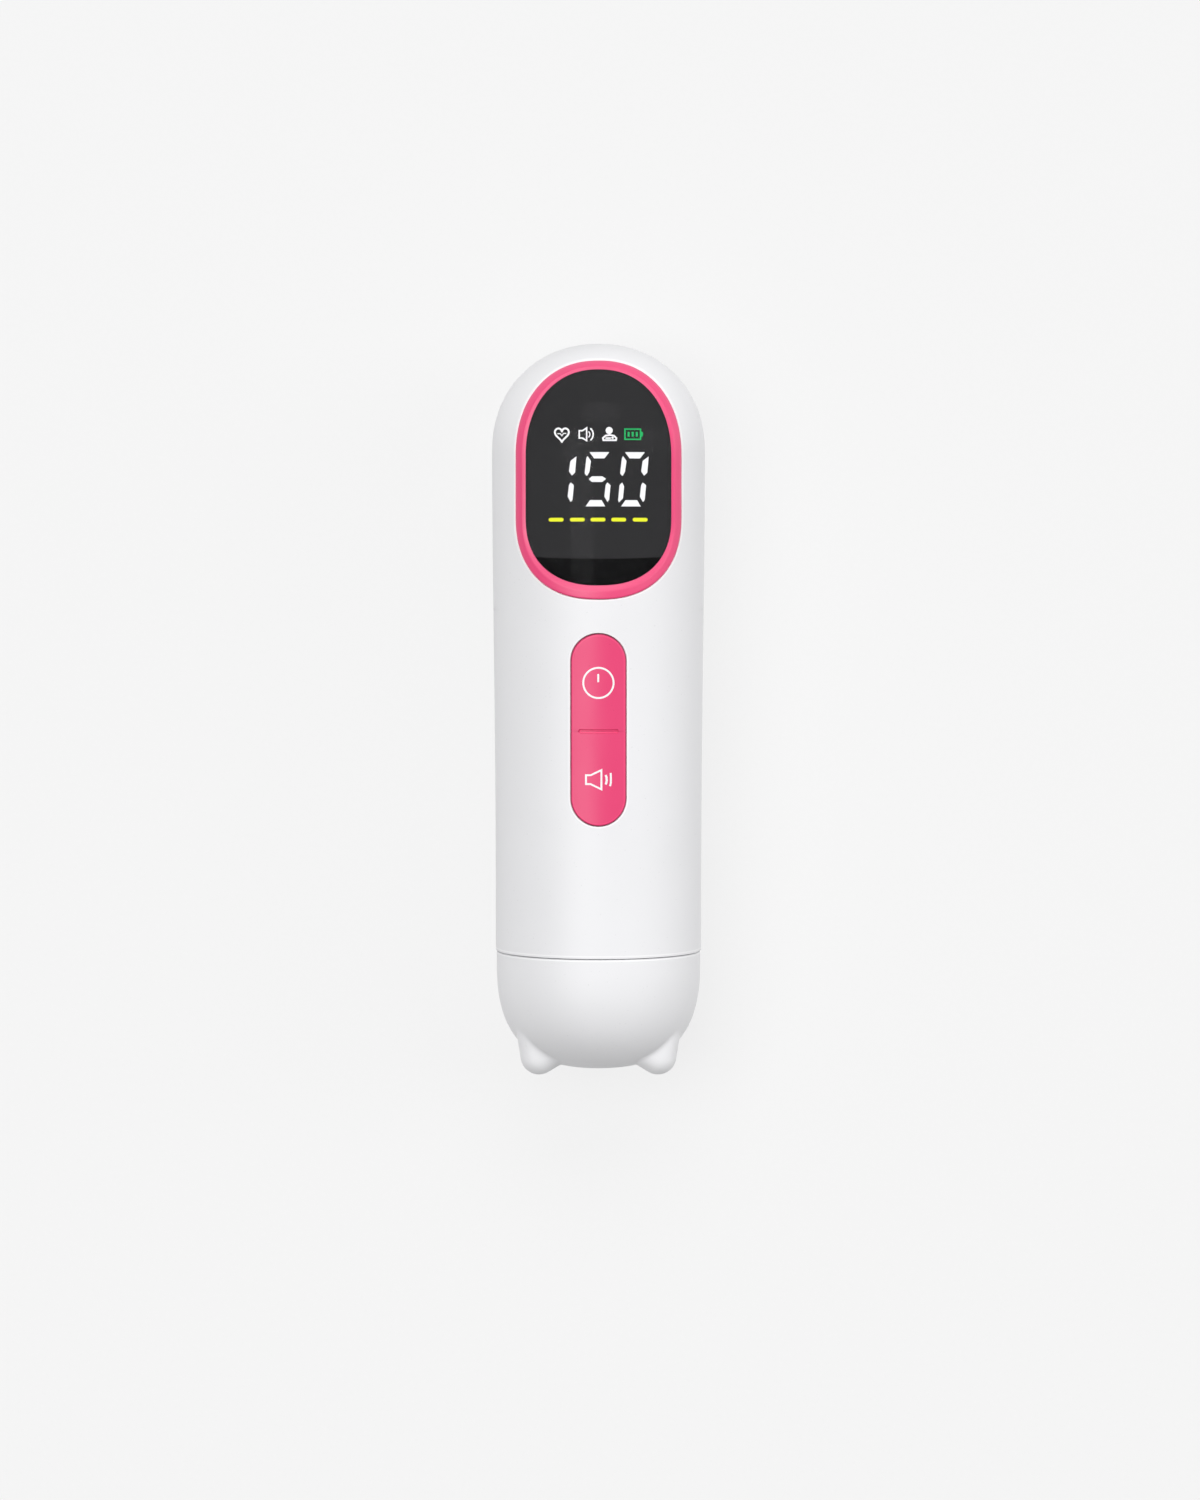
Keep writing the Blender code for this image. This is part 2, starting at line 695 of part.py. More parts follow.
def build_display(bench, look):
    """The ring, lens, mask, panel and backlight."""
    depth = INNER_RADIUS / 2
    reach = BODY_RADIUS + OVERRUN
    under = WALL + FIT
    ring = trim(capsule(bench, RING_PROUD), prism(bench, ring_plan(0), depth, reach))
    cut(ring, capsule(bench, -under - FIT / 2))
    flange = trim(capsule(bench, -under), prism(bench, ring_plan(RING_FLANGE), depth, reach))
    cut(flange, capsule(bench, -under - RING_FLANGE_THICKNESS))
    cut(flange, prism(bench, window_plan(-RING_FLANGE), 0, reach))
    cut(ring, prism(bench, window_plan(0), 0, reach))
    bench.piece("display_bezel", join(ring, flange), look["pink"])

    lens = trim(capsule(bench, -LENS_SINK), prism(bench, window_plan(-FIT), depth, reach))
    cut(lens, capsule(bench, -LENS_SINK - LENS_THICKNESS))
    bench.piece("display_lens", lens, look["smoke"])

    plan = window_plan(-RING_FLANGE - FIT)
    mask = trim(capsule(bench, -under), prism(bench, plan, depth, reach))
    cut(mask, capsule(bench, -under - MASK_THICKNESS))
    bench.piece("display_mask", mask, look["black"])

    half = BOARD_HALF_WIDTH - PANEL_INSET
    low = STRAIGHT_FOOT - PANEL_BELOW_STRAIGHT
    high = STRAIGHT_TOP + PANEL_ABOVE_STRAIGHT
    back = BOARD_FRONT + FIT
    light = block(
        bench, (-half - BACKLIGHT_BORDER, half + BACKLIGHT_BORDER),
        (low - BACKLIGHT_BORDER, high + BACKLIGHT_BORDER), (back, back + BACKLIGHT_THICKNESS),
    )
    bench.piece("display_backlight", light, look["white"])
    back += BACKLIGHT_THICKNESS + FIT
    panel = block(bench, (-half, half), (low, high), (back, back + PANEL_THICKNESS))
    bench.piece("display_panel", panel, look["glass"])

    start = back + PANEL_THICKNESS / 2
    end = BOARD_FRONT + FIT + RIBBON_THICKNESS
    route = [
        (start, low - FIT), (start, low - FIT - PANEL_RIBBON_LENGTH / 4),
        ((start + end) / 2, low - PANEL_RIBBON_LENGTH / 2),
        (end, low - PANEL_RIBBON_LENGTH * 3 / 4), (end, low - PANEL_RIBBON_LENGTH),
    ]
    points = [(0, along, height) for height, along in route]
    across = (PANEL_RIBBON_WIDTH, 0, 0)
    bench.piece("display_ribbon", strip(bench, points, across), look["amber"])


def strip(bench, points, across):
    """A flat flexible lead: a line of points drawn out across, then thickened."""
    shape = bmesh.new()
    half = Vector(across) / 2
    row = [shape.verts.new(Vector(point) - half) for point in points]
    edges = [shape.edges.new(pair) for pair in zip(row, row[1:])]
    drawn = bmesh.ops.extrude_edge_only(shape, edges=edges)["geom"]
    moved = [item for item in drawn if isinstance(item, bmesh.types.BMVert)]
    bmesh.ops.translate(shape, verts=moved, vec=Vector(across))
    part = bench.tool(mesh_of(shape))
    sheet = part.modifiers.new("sheet", "SOLIDIFY")
    sheet.thickness = RIBBON_THICKNESS
    sheet.offset = 0
    return part


def key_plan(side, grow, setback):
    """One key's outline: the strip above the divider for side 1, below it for -1."""
    whole = stadium(KEY_HALF_WIDTH + grow, KEY_LOW - grow, KEY_HIGH + grow)
    edge = DIVIDER + side * setback
    half = KEY_HALF_WIDTH + grow
    arc = [(x, y) for x, y in whole if (y - DIVIDER) * side > 0]
    if side > 0:
        return arc + [(-half, edge), (half, edge)]
    return arc + [(half, edge), (-half, edge)]


def build_key(bench, look, name, side):
    """One half of the key strip, which tips about the divider."""
    depth = INNER_RADIUS / 2
    reach = BODY_RADIUS + OVERRUN
    pivot = bench.pivot(f"{name}_pivot", (0, DIVIDER, pivot_height() + FIT))
    key = trim(capsule(bench, KEY_PROUD), prism(bench, key_plan(side, 0, FIT / 2), depth, reach))
    cut(key, capsule(bench, KEY_PROUD - KEY_WALL))
    slot = stadium(DIVIDER_WIDTH / 2, -DIVIDER_LENGTH / 2, DIVIDER_LENGTH / 2)
    slot = [(y, DIVIDER + x) for x, y in slot]
    groove = cut(prism(bench, slot, depth, reach), capsule(bench, KEY_PROUD - DIVIDER_DEPTH))
    cut(key, groove)
    under = WALL + FIT
    wide = key_plan(side, KEY_FLANGE, KEY_FLANGE_SETBACK)
    flange = trim(capsule(bench, -under), prism(bench, wide, depth, reach))
    cut(flange, capsule(bench, -under - KEY_FLANGE_THICKNESS))
    stem_at = [(0, DIVIDER + side * STEM_FROM_DIVIDER)]
    stem = rods(bench, stem_at, STEM_END, INNER_RADIUS, STEM_RADIUS)
    bench.piece(name, join(key, flange, stem), look["pink"], pivot)


def pivot_height():
    """The height of the rib that both keys tip on."""
    inside = body_radius(DIVIDER) + KEY_PROUD - KEY_WALL
    return chord(inside, PIVOT_HALF_WIDTH) - FIT


def build_retainer(bench, look):
    """The plate behind the keys, with the rib that they tip on."""
    ends = (
        RETAINER_BOSSES[0][1] - RETAINER_BOSS_RADIUS,
        RETAINER_BOSSES[1][1] + RETAINER_BOSS_RADIUS,
    )
    plate = block(bench, (-RETAINER_HALF_WIDTH, RETAINER_HALF_WIDTH), ends,
                  (RETAINER_BACK, RETAINER_FRONT))
    rib = block(bench, (-PIVOT_HALF_WIDTH, PIVOT_HALF_WIDTH),
                (DIVIDER - PIVOT_THICKNESS / 2, DIVIDER + PIVOT_THICKNESS / 2),
                (RETAINER_BACK + FIT, pivot_height()))
    stems = [(0, DIVIDER + side * STEM_FROM_DIVIDER) for side in (-1, 1)]
    low, high = RETAINER_BACK - FIT, RETAINER_FRONT + FIT
    join(plate, rib)
    cut(plate, rods(bench, stems, low, high, STEM_RADIUS + 2 * FIT))
    cut(plate, rods(bench, RETAINER_BOSSES, low, high, SMALL_SHANK_RADIUS + FIT))
    bench.piece("key_retainer", plate, look["grey"])


def build_switch(bench, look, name, side):
    """A push switch under one key, with its plunger."""
    along = DIVIDER + side * STEM_FROM_DIVIDER
    half = SWITCH_HALF_WIDTH
    body = block(bench, (-half, half), (along - half, along + half),
                 (BOARD_FRONT + FIT, SWITCH_FRONT))
    floor = SWITCH_FRONT - SWITCH_BORE_DEPTH
    cut(body, rods(bench, [(0, along)], floor, SWITCH_FRONT + FIT, PLUNGER_RADIUS + FIT))
    bench.piece(f"{name}_switch", body, look["black"])
    low = floor + 2 * FIT
    pivot = bench.pivot(f"{name}_plunger_axis", (0, along, low))
    plunger = rods(bench, [(0, along)], low, STEM_END - FIT, PLUNGER_RADIUS)
    bench.piece(f"{name}_plunger", plunger, look["grey"], pivot)


def build_board(bench, look):
    """The main board with its chips, shielding can and sockets."""
    half = BOARD_HALF_WIDTH
    board = block(bench, (-half, half), (BOARD_LOW, BOARD_HIGH), (BOARD_BACK, BOARD_FRONT))
    cut(board, rods(bench, BOARD_POST_PLACES, BOARD_BACK - FIT, BOARD_FRONT + FIT,
                    BIG_SHANK_RADIUS + FIT))
    bench.piece("main_board", board, look["green"])
    on_board = [
        ("processor_chip", 0, DIVIDER + PROCESSOR_SIDE, PROCESSOR_SIDE, PROCESSOR_SIDE,
         CHIP_HEIGHT, "black"),
        ("amplifier_chip", half / 2, KEY_HIGH + CAN_LENGTH, AMPLIFIER_WIDTH,
         AMPLIFIER_LENGTH, CHIP_HEIGHT, "black"),
        ("shield_can", 0, DIVIDER - CAN_LENGTH, CAN_WIDTH, CAN_LENGTH, CAN_HEIGHT, "steel"),
        ("battery_socket", *battery_socket_place(), SOCKET_WIDTH, SOCKET_LENGTH,
         SOCKET_HEIGHT, "ivory"),
        ("speaker_socket", *speaker_socket_place(), SOCKET_WIDTH, SOCKET_LENGTH,
         SOCKET_HEIGHT, "ivory"),
        ("probe_socket", *probe_socket_place(), SOCKET_WIDTH * 2, SOCKET_LENGTH,
         SOCKET_HEIGHT, "ivory"),
    ]
    for name, x, y, width, length, height, finish_name in on_board:
        part = block(bench, (x - width / 2, x + width / 2), (y - length / 2, y + length / 2),
                     (PARTS_ON_BOARD - height, PARTS_ON_BOARD))
        bench.piece(name, part, look[finish_name])


def battery_socket_place():
    """The battery socket's middle on the board."""
    side = BOARD_HALF_WIDTH - SOCKET_EDGE - SOCKET_WIDTH / 2
    return -side, DIVIDER + SOCKET_LENGTH * 2


def speaker_socket_place():
    """The loudspeaker socket's middle on the board."""
    side = BOARD_HALF_WIDTH - SOCKET_EDGE - SOCKET_WIDTH / 2
    return -side, SPEAKER_CENTRE


def probe_socket_place():
    """The probe socket's middle on the board."""
    return 0, BOARD_LOW + SOCKET_LENGTH


def screw(bench, place, seat, head, shank, length, direction):
    """A pan-head screw on a seat, with its shank along Z in a direction."""
    x, y = place
    outline = [
        (0, -HEAD_HEIGHT), (head * HEAD_TOP_SHARE, -HEAD_HEIGHT), (head, -HEAD_HEIGHT / 2),
        (head, 0), (shank, 0), (shank, length - shank), (shank / 2, length), (0, length),
    ]
    if direction > 0:
        outline = outline[::-1]
    else:
        outline = [(radius, -along) for radius, along in outline]
    return placed(turned(bench, outline, "Z", SMALL_STEPS), (x, y, seat))


def build_screws(bench, look):
    """Every screw: four for the shells, four for the board, two each for the rest."""
    groups = [
        ("shell_screw", SHELL_SCREW_PLACES, -COUNTERBORE_FLOOR - FIT, BIG_HEAD_RADIUS,
         BIG_SHANK_RADIUS, BIG_SHANK_LENGTH - FIT * 2, 1),
        ("board_screw", BOARD_POST_PLACES, PARTS_ON_BOARD, BIG_HEAD_RADIUS,
         BIG_SHANK_RADIUS, BOARD_SHANK_LENGTH, 1),
        ("retainer_screw", RETAINER_BOSSES, RETAINER_BACK - FIT, SMALL_HEAD_RADIUS,
         SMALL_SHANK_RADIUS, SMALL_SHANK_LENGTH, 1),
        ("port_screw", PORT_POST_PLACES, -PORT_BOARD_FRONT + FIT, SMALL_HEAD_RADIUS,
         SMALL_SHANK_RADIUS, PORT_SHANK_LENGTH, -1),
    ]
    for name, places, seat, head, shank, length, direction in groups:
        for number, place in enumerate(places, 1):
            part = screw(bench, place, seat, head, shank, length, direction)
            bench.piece(f"{name}_{number}", part, look["steel"])


def usb_form(bench, grow, start, end):
    """The charging socket's rounded outline drawn out along X."""
    half_height = USB_HEIGHT / 2 + grow
    plan = stadium(half_height, -USB_WIDTH / 2 - grow, USB_WIDTH / 2 + grow)
    part = prism(bench, plan, start, end)
    return placed(part, (0, USB_ALONG, USB_AXIS), (0, math.pi / 2, 0))


def usb_mouth():
    """Where the charging socket's mouth is along X."""
    return chord(body_radius(USB_ALONG), -USB_AXIS) - USB_RECESS + WALL / 2


def jack_hole(bench):
    """The earphone opening through the wall."""
    reach = BODY_RADIUS + OVERRUN
    return rod_across(bench, JACK_ALONG, JACK_AXIS, INNER_RADIUS / 2, reach,
                      JACK_BARREL_RADIUS + FIT)


def build_ports(bench, look):
    """The port board with the charging socket and the earphone jack."""
    board = block(bench, (PORT_BOARD_LEFT, PORT_BOARD_RIGHT),
                  (PORT_BOARD_LOW, PORT_BOARD_HIGH), (-PORT_BOARD_BACK, -PORT_BOARD_FRONT))
    cut(board, rods(bench, PORT_POST_PLACES, -PORT_BOARD_BACK - FIT, -PORT_BOARD_FRONT + FIT,
                    SMALL_SHANK_RADIUS + FIT))
    bench.piece("port_board", board, look["green"])

    mouth = usb_mouth()
    back = mouth - USB_DEPTH
    socket = usb_form(bench, 0, back, mouth)
    cut(socket, usb_form(bench, -USB_WALL, back + USB_WALL * 2, mouth + FIT))
    half = USB_WIDTH / 2 - USB_HEIGHT / 2
    tongue = block(bench, (back + USB_WALL, mouth - USB_TONGUE),
                   (USB_ALONG - half, USB_ALONG + half),
                   (USB_AXIS - USB_TONGUE / 2, USB_AXIS + USB_TONGUE / 2))
    bench.piece("usb_socket", join(socket, tongue), look["steel"])

    half = JACK_BLOCK / 2
    start = PORT_BOARD_LEFT + FIT
    end = start + JACK_LENGTH
    jack = block(bench, (start, end), (JACK_ALONG - half, JACK_ALONG + half),
                 (JACK_AXIS - half, JACK_AXIS + half))
    tip = end + JACK_BARREL_LENGTH
    join(jack, rod_across(bench, JACK_ALONG, JACK_AXIS, end - FIT, tip, JACK_BARREL_RADIUS))
    cut(jack, rod_across(bench, JACK_ALONG, JACK_AXIS, start + FIT * 3, tip + FIT,
                         JACK_BORE_RADIUS))
    bench.piece("earphone_jack", jack, look["black"])

    low = -PORT_BOARD_FRONT + FIT
    high = PARTS_ON_BOARD
    x = BOARD_HALF_WIDTH - BOARD_POST_INSET / 2
    middle = (USB_ALONG + PORT_BOARD_HIGH) / 2 - PORT_RIBBON_WIDTH
    route_shares = ((0, 0), (0.12, 0.1), (0.5, 0.3), (0.5, 0.7), (0.12, 0.9), (0, 1))
    points = [
        (x + share_out * BOARD_POST_INSET, middle, high + (low - high) * share_down)
        for share_out, share_down in route_shares
    ]
    ribbon = strip(bench, points, (0, PORT_RIBBON_WIDTH, 0))
    bench.piece("port_ribbon", ribbon, look["amber"])


def build_battery(bench, look):
    """The cell and the cradle that it lies in."""
    top = CELL_HIGH
    outline = [
        (0, top + CELL_BUTTON_HEIGHT), (CELL_BUTTON_RADIUS, top + CELL_BUTTON_HEIGHT),
        (CELL_BUTTON_RADIUS, top), (CELL_RADIUS - CELL_EDGE, top),
        (CELL_RADIUS, top - CELL_EDGE), (CELL_RADIUS, CELL_LOW + CELL_EDGE),
        (CELL_RADIUS - CELL_EDGE, CELL_LOW), (0, CELL_LOW),
    ]
    cell = placed(turned(bench, outline, steps=MID_STEPS), (0, 0, CELL_AXIS))
    bench.piece("battery_cell", cell, look["blue"])
    floor = -INNER_FLAT + FIT
    cradle = block(bench, (-CRADLE_HALF_WIDTH, CRADLE_HALF_WIDTH),
                   (CELL_LOW + CRADLE_INSET, CELL_HIGH - CRADLE_INSET),
                   (floor, floor + CRADLE_HEIGHT))
    trim(cradle, capsule(bench, -WALL - FIT))
    cut(cradle, rod_along(bench, 0, CELL_AXIS, CELL_LOW, CELL_HIGH, CELL_RADIUS + FIT))
    bench.piece("battery_cradle", cradle, look["grey"])


def build_speaker(bench, look):
    """The loudspeaker facing the back, with the mesh over its grille."""
    face = SPEAKER_FACE
    back = face + SPEAKER_DEPTH
    sheet = SPEAKER_SHEET
    rim = SPEAKER_RADIUS - SPEAKER_RIM
    waist = MAGNET_RADIUS + SPEAKER_RIM
    outline = [
        (SPEAKER_RADIUS, back - SPEAKER_RIM * 2), (SPEAKER_RADIUS, face), (rim, face),
        (rim, face + SPEAKER_RIM), (waist, back - sheet), (COIL_RADIUS + sheet * 2, back - sheet),
        (COIL_RADIUS + sheet * 2, back), (waist + sheet, back),
    ]
    frame = placed(turned(bench, outline, "Z", MID_STEPS, loop=True), (0, SPEAKER_CENTRE, 0))
    bench.piece("speaker_frame", frame, look["steel"])
    magnet = rods(bench, [(0, SPEAKER_CENTRE)], back + FIT, back + FIT + MAGNET_HEIGHT,
                  MAGNET_RADIUS, MID_STEPS)
    bench.piece("speaker_magnet", magnet, look["grey"])

    skin = CONE_SHEET
    edge = rim - FIT
    dip = face + SPEAKER_RIM
    coil_end = back - sheet
    cone_outline = [
        (0, dip + skin), (COIL_RADIUS - skin, dip + skin * 2), (COIL_RADIUS - skin, coil_end),
        (COIL_RADIUS, coil_end), (COIL_RADIUS, dip + skin * 2), (edge - SPEAKER_RIM, face + skin),
        (edge, face + skin * 2), (edge, face + skin), (edge - SPEAKER_RIM, face),
        (COIL_RADIUS, dip), (0, dip - skin),
    ]
    pivot = bench.pivot("speaker_axis", (0, SPEAKER_CENTRE, face))
    cone = placed(turned(bench, cone_outline, "Z", MID_STEPS), (0, SPEAKER_CENTRE, 0))
    bench.piece("speaker_cone", cone, look["black"], pivot)
    floor = -INNER_FLAT + FIT
    mesh = rods(bench, [(0, SPEAKER_CENTRE)], floor, floor + MESH_THICKNESS, MESH_RADIUS,
                MID_STEPS)
    bench.piece("speaker_mesh", mesh, look["black"])


def build_probe(bench, look):
    """The probe housing with its face, crystals, backing and grip ring."""
    above = HOUSING_ABOVE_SEAM
    rib_top = RIB_FROM_SEAM + RIB_WIDTH + FIT
    rib_foot = RIB_FROM_SEAM - FIT
    groove = body_radius(0) - WALL - RIB_DEPTH - FIT
    grip_low = -RING_FROM_SEAM - GRIP_RING_WIRE - FIT
    grip_high = -RING_FROM_SEAM + GRIP_RING_WIRE + FIT
    grip_floor = CAP_RADIUS - CAP_WALL - FIT - 2 * GRIP_RING_WIRE - FIT
    inside = COLLAR_RADIUS - HOUSING_WALL
    mouth = NOSE_RADIUS - NOSE_LIP
    nose = -NOSE_LENGTH
    outline = [
        (COLLAR_RADIUS, above), (COLLAR_RADIUS, rib_top), (groove, rib_top), (groove, rib_foot),
        (COLLAR_RADIUS, rib_foot), (COLLAR_RADIUS, grip_high), (grip_floor, grip_high),
        (grip_floor, grip_low), (COLLAR_RADIUS, grip_low), (COLLAR_RADIUS, -COLLAR_LENGTH),
        (NOSE_RADIUS, nose + FACE_EDGE / 2), (NOSE_RADIUS - FACE_EDGE / 2, nose),
        (mouth, nose), (mouth, nose + LIP_HEIGHT), (inside, nose + LIP_HEIGHT), (inside, above),
    ]
    housing = turned(bench, outline, steps=PROBE_STEPS, loop=True)
    bench.piece("probe_housing", housing, look["grey_white"])

    radius = mouth - FIT
    face_outline = [
        (0, nose + FACE_EDGE / 2), (radius, nose + FACE_EDGE / 2), (radius, nose),
        (radius - FACE_EDGE, nose - FACE_CROWN / 2), (radius / 2, nose - FACE_CROWN),
        (0, nose - FACE_CROWN - FIT / 2),
    ]
    face = turned(bench, face_outline, steps=PROBE_STEPS)
    bench.piece("probe_face", face, look["silicone"])

    low = nose + FACE_EDGE / 2 + FIT
    disc = radius - CRYSTAL_INSET
    for name, side in (("transmit_crystal", -1), ("receive_crystal", 1)):
        crystal = rod_along(bench, 0, 0, low, low + CRYSTAL_THICKNESS, disc, PROBE_STEPS)
        reach = BODY_RADIUS
        limits = sorted((side * CRYSTAL_SPLIT / 2, side * reach))
        trim(crystal, block(bench, limits, (nose - reach, reach), (-reach, reach)))
        bench.piece(name, crystal, look["gold"])
    seat = max(nose + LIP_HEIGHT, low + CRYSTAL_THICKNESS) + FIT
    backing = rod_along(bench, 0, 0, seat, seat + BACKING_HEIGHT, inside - FIT, PROBE_STEPS)
    bench.piece("crystal_backing", backing, look["grey"])

    wire = GRIP_RING_WIRE
    centre = CAP_RADIUS - CAP_WALL - FIT - wire
    circle = [
        (centre + wire * math.cos(turn), -RING_FROM_SEAM + wire * math.sin(turn))
        for turn in (-math.tau * step / RING_SIDES for step in range(RING_SIDES))
    ]
    ring = turned(bench, circle, steps=PROBE_STEPS, loop=True)
    bench.piece("cap_grip_ring", ring, look["black"])


def cap_outline(radius, dome, top):
    """The cap's profile from its open end down to its closed end."""
    arc = quarter(radius, dome, CAP_POWER, ARC_POINTS + 2)
    points = [(0, top), (radius, top)]
    points += [(x, -CAP_SKIRT - y) for x, y in reversed(arc)]
    return points + [(0, -CAP_SKIRT - dome)]


def ear(bench, side):
    """One ear: a round tip on a flaring root, leaning outwards."""
    span = math.pi / 2 - EAR_FLARE
    turns = [span * step / ARC_POINTS for step in range(ARC_POINTS + 1)]
    tip = [(EAR_RADIUS * math.sin(turn), -EAR_RADIUS * math.cos(turn)) for turn in turns]
    root = (EAR_RADIUS / math.cos(EAR_FLARE) + EAR_REACH * math.tan(EAR_FLARE), EAR_REACH)
    outline = [(0, EAR_REACH), root] + tip[::-1]
    part = turned(bench, outline, steps=MID_STEPS)
    return placed(part, (side * EAR_SPREAD, -EAR_DROP, 0), (0, 0, side * EAR_TILT))


def build_cap(bench, look):
    """The probe cap with its two ears, which pulls off along the body."""
    pivot = bench.pivot("cap_axis", (0, -SEAM_GAP, 0))
    outline = cap_outline(CAP_RADIUS, CAP_DOME, -SEAM_GAP - SEAM_CHAMFER)
    outline[0:1] = [(0, -SEAM_GAP), (CAP_RADIUS - SEAM_CHAMFER, -SEAM_GAP)]
    shell = turned(bench, outline)
    join(shell, ear(bench, -1), ear(bench, 1))
    inner = cap_outline(CAP_RADIUS - CAP_WALL, CAP_DOME - CAP_WALL, OVERRUN)
    cut(shell, turned(bench, inner))
    reach = BODY_RADIUS + OVERRUN
    cut(shell, block(bench, (-reach, reach), (-BODY_LENGTH, OVERRUN), (-reach, -BACK_FLAT)))
    bench.piece("probe_cap", shell, look["white"], pivot)


def smooth_route(points, spacing):
    """Points along a smooth curve through a route's own points."""
    route = [Vector(point) for point in points]
    padded = [2 * route[0] - route[1], *route, 2 * route[-1] - route[-2]]
    result = []
    for before, start, end, after in zip(padded, padded[1:], padded[2:], padded[3:]):
        steps = max(2, round((end - start).length / spacing))
        for step in range(steps):
            share = step / steps
            result.append(0.5 * (
                2 * start + (end - before) * share
                + (2 * before - 5 * start + 4 * end - after) * share**2
                + (3 * start - before - 3 * end + after) * share**3
            ))
    return result + [route[-1]]


def lead(bench, name, points, material):
    """A round wire along a route."""
    curve = bpy.data.curves.new(name, "CURVE")
    curve.dimensions = "3D"
    curve.bevel_depth = WIRE_RADIUS
    curve.bevel_resolution = 1
    curve.use_fill_caps = True
    curve.materials.append(material)
    route = smooth_route(points, WIRE_RADIUS * 5)
    spline = curve.splines.new("POLY")
    spline.points.add(len(route) - 1)
    for point, place in zip(spline.points, route):
        point.co = (*place, 1)
    wire = bpy.data.objects.new(name, curve)
    wire.parent = bench.base
    bench.parts.objects.link(wire)


def build_leads(bench, look):
    """The wires between the board and the cell, loudspeaker and crystals."""
    x, y = battery_socket_place()
    mouth = y + SOCKET_LENGTH / 2 + FIT
    deep = PARTS_ON_BOARD - SOCKET_HEIGHT / 2
    room = INNER_RADIUS / 2
    top = CELL_HIGH + CELL_BUTTON_HEIGHT + FIT
    step = SOCKET_WIDTH / 4
    far = CELL_RADIUS + WIRE_RADIUS * 6
    red = [
        (0, top, CELL_AXIS), (0, top + step, CELL_AXIS + step / 4),
        (x / 4, top + step * 1.4, CELL_AXIS + step * 2), (x * 0.7, top + step, -step),
        (x + step, y + room * 1.1, deep - step), (x + step, mouth + step * 2, deep),
        (x + step, mouth, deep),
    ]
    lead(bench, "battery_lead_red", red, look["red"])
    black = [
        (0, CELL_LOW - FIT, CELL_AXIS), (-step, CELL_LOW - step, CELL_AXIS + step / 4),
        (-far * 0.7, CELL_LOW - step, CELL_AXIS + step * 1.5),
        (-far, CELL_LOW + step * 2, CELL_AXIS + far / 2), (-far, DIVIDER, CELL_AXIS + far * 0.6),
        (x, y + room, -step), (x - step, y + room * 1.1, deep - step * 2),
        (x - step, mouth + step * 2, deep), (x - step, mouth, deep),
    ]
    lead(bench, "battery_lead_black", black, look["black"])

    x, y = speaker_socket_place()
    side = SPEAKER_RADIUS + WIRE_RADIUS + FIT
    for name, shift, finish_name in (("red", step, "red"), ("black", -step, "black")):
        start = y + shift * 1.5
        route = [
            (-side, start, SPEAKER_FACE + SPEAKER_RIM), (-side - FIT, start, SPEAKER_FACE / 2),
            (-side, start, -step), (x + shift / 2, start, deep - SOCKET_HEIGHT),
            (x + shift / 2, y + shift / 2, deep - SOCKET_HEIGHT / 2 - FIT),
        ]
        lead(bench, f"speaker_lead_{finish_name}", route, look[finish_name])

    x, y = probe_socket_place()
    backing = -NOSE_LENGTH + LIP_HEIGHT + FIT * 2 + BACKING_HEIGHT
    for name, side in (("transmit_lead", -1), ("receive_lead", 1)):
        across = side * SOCKET_WIDTH / 2
        route = [
            (across, backing, 0), (across, backing + step * 2, 0),
            (across * 1.4, HOUSING_ABOVE_SEAM, deep / 3),
            (across, y - SOCKET_LENGTH / 2 - step * 3, deep),
            (across, y - SOCKET_LENGTH / 2 - FIT, deep),
        ]
        lead(bench, name, route, look["grey"])


def looks():
    """The finishes that the pieces are made in."""
    return {
        "white": finish("white_plastic", WHITE, 0.35),
        "grey_white": finish("grey_white_plastic", PALE_GREY, 0.5),
        "pink": finish("pink_plastic", PINK, 0.3),
        "smoke": finish("smoked_clear_plastic", BLACK, 0.05),
        "black": finish("black_plastic", BLACK, 0.5),
        "grey": finish("grey_plastic", GREY, 0.5),
        "ivory": finish("ivory_plastic", IVORY, 0.5),
        "steel": finish("plated_steel", STEEL, 0.3, 1.0),
        "green": finish("green_board", GREEN, 0.4),
        "gold": finish("gold_film", GOLD, 0.3, 1.0),
        "glass": finish("display_glass", GREY, 0.1),
        "amber": finish("amber_film", AMBER, 0.4),
        "blue": finish("cell_sleeve", CELL_BLUE, 0.4),
        "red": finish("red_insulation", RED, 0.5),
        "silicone": finish("pale_silicone", PALE_GREY, 0.6),
    }


def main():
    """Builds every piece."""
    bench = Bench()
    look = looks()
    build_front_shell(bench, look)
    build_rear_shell(bench, look)
    build_display(bench, look)
    build_key(bench, look, "power_key", 1)
    build_key(bench, look, "volume_key", -1)
    build_retainer(bench, look)
    build_switch(bench, look, "power", 1)
    build_switch(bench, look, "volume", -1)
    build_board(bench, look)
    build_screws(bench, look)
    build_ports(bench, look)
    build_battery(bench, look)
    build_speaker(bench, look)
    build_probe(bench, look)
    build_cap(bench, look)
    build_leads(bench, look)


main()
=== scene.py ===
"""Smooth surfaces, finishes, lights and camera for a pocket fetal doppler lying on its back.

Shapes are worked out about the body's long axis: X runs across, Y along the body from the seam
at the probe cap to the crown, Z towards the display. Each finished mesh is then moved to where
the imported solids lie.
"""

import math

import bmesh
import bpy
from bpy.props import FloatProperty, FloatVectorProperty, PointerProperty
from mathutils import Matrix, Vector


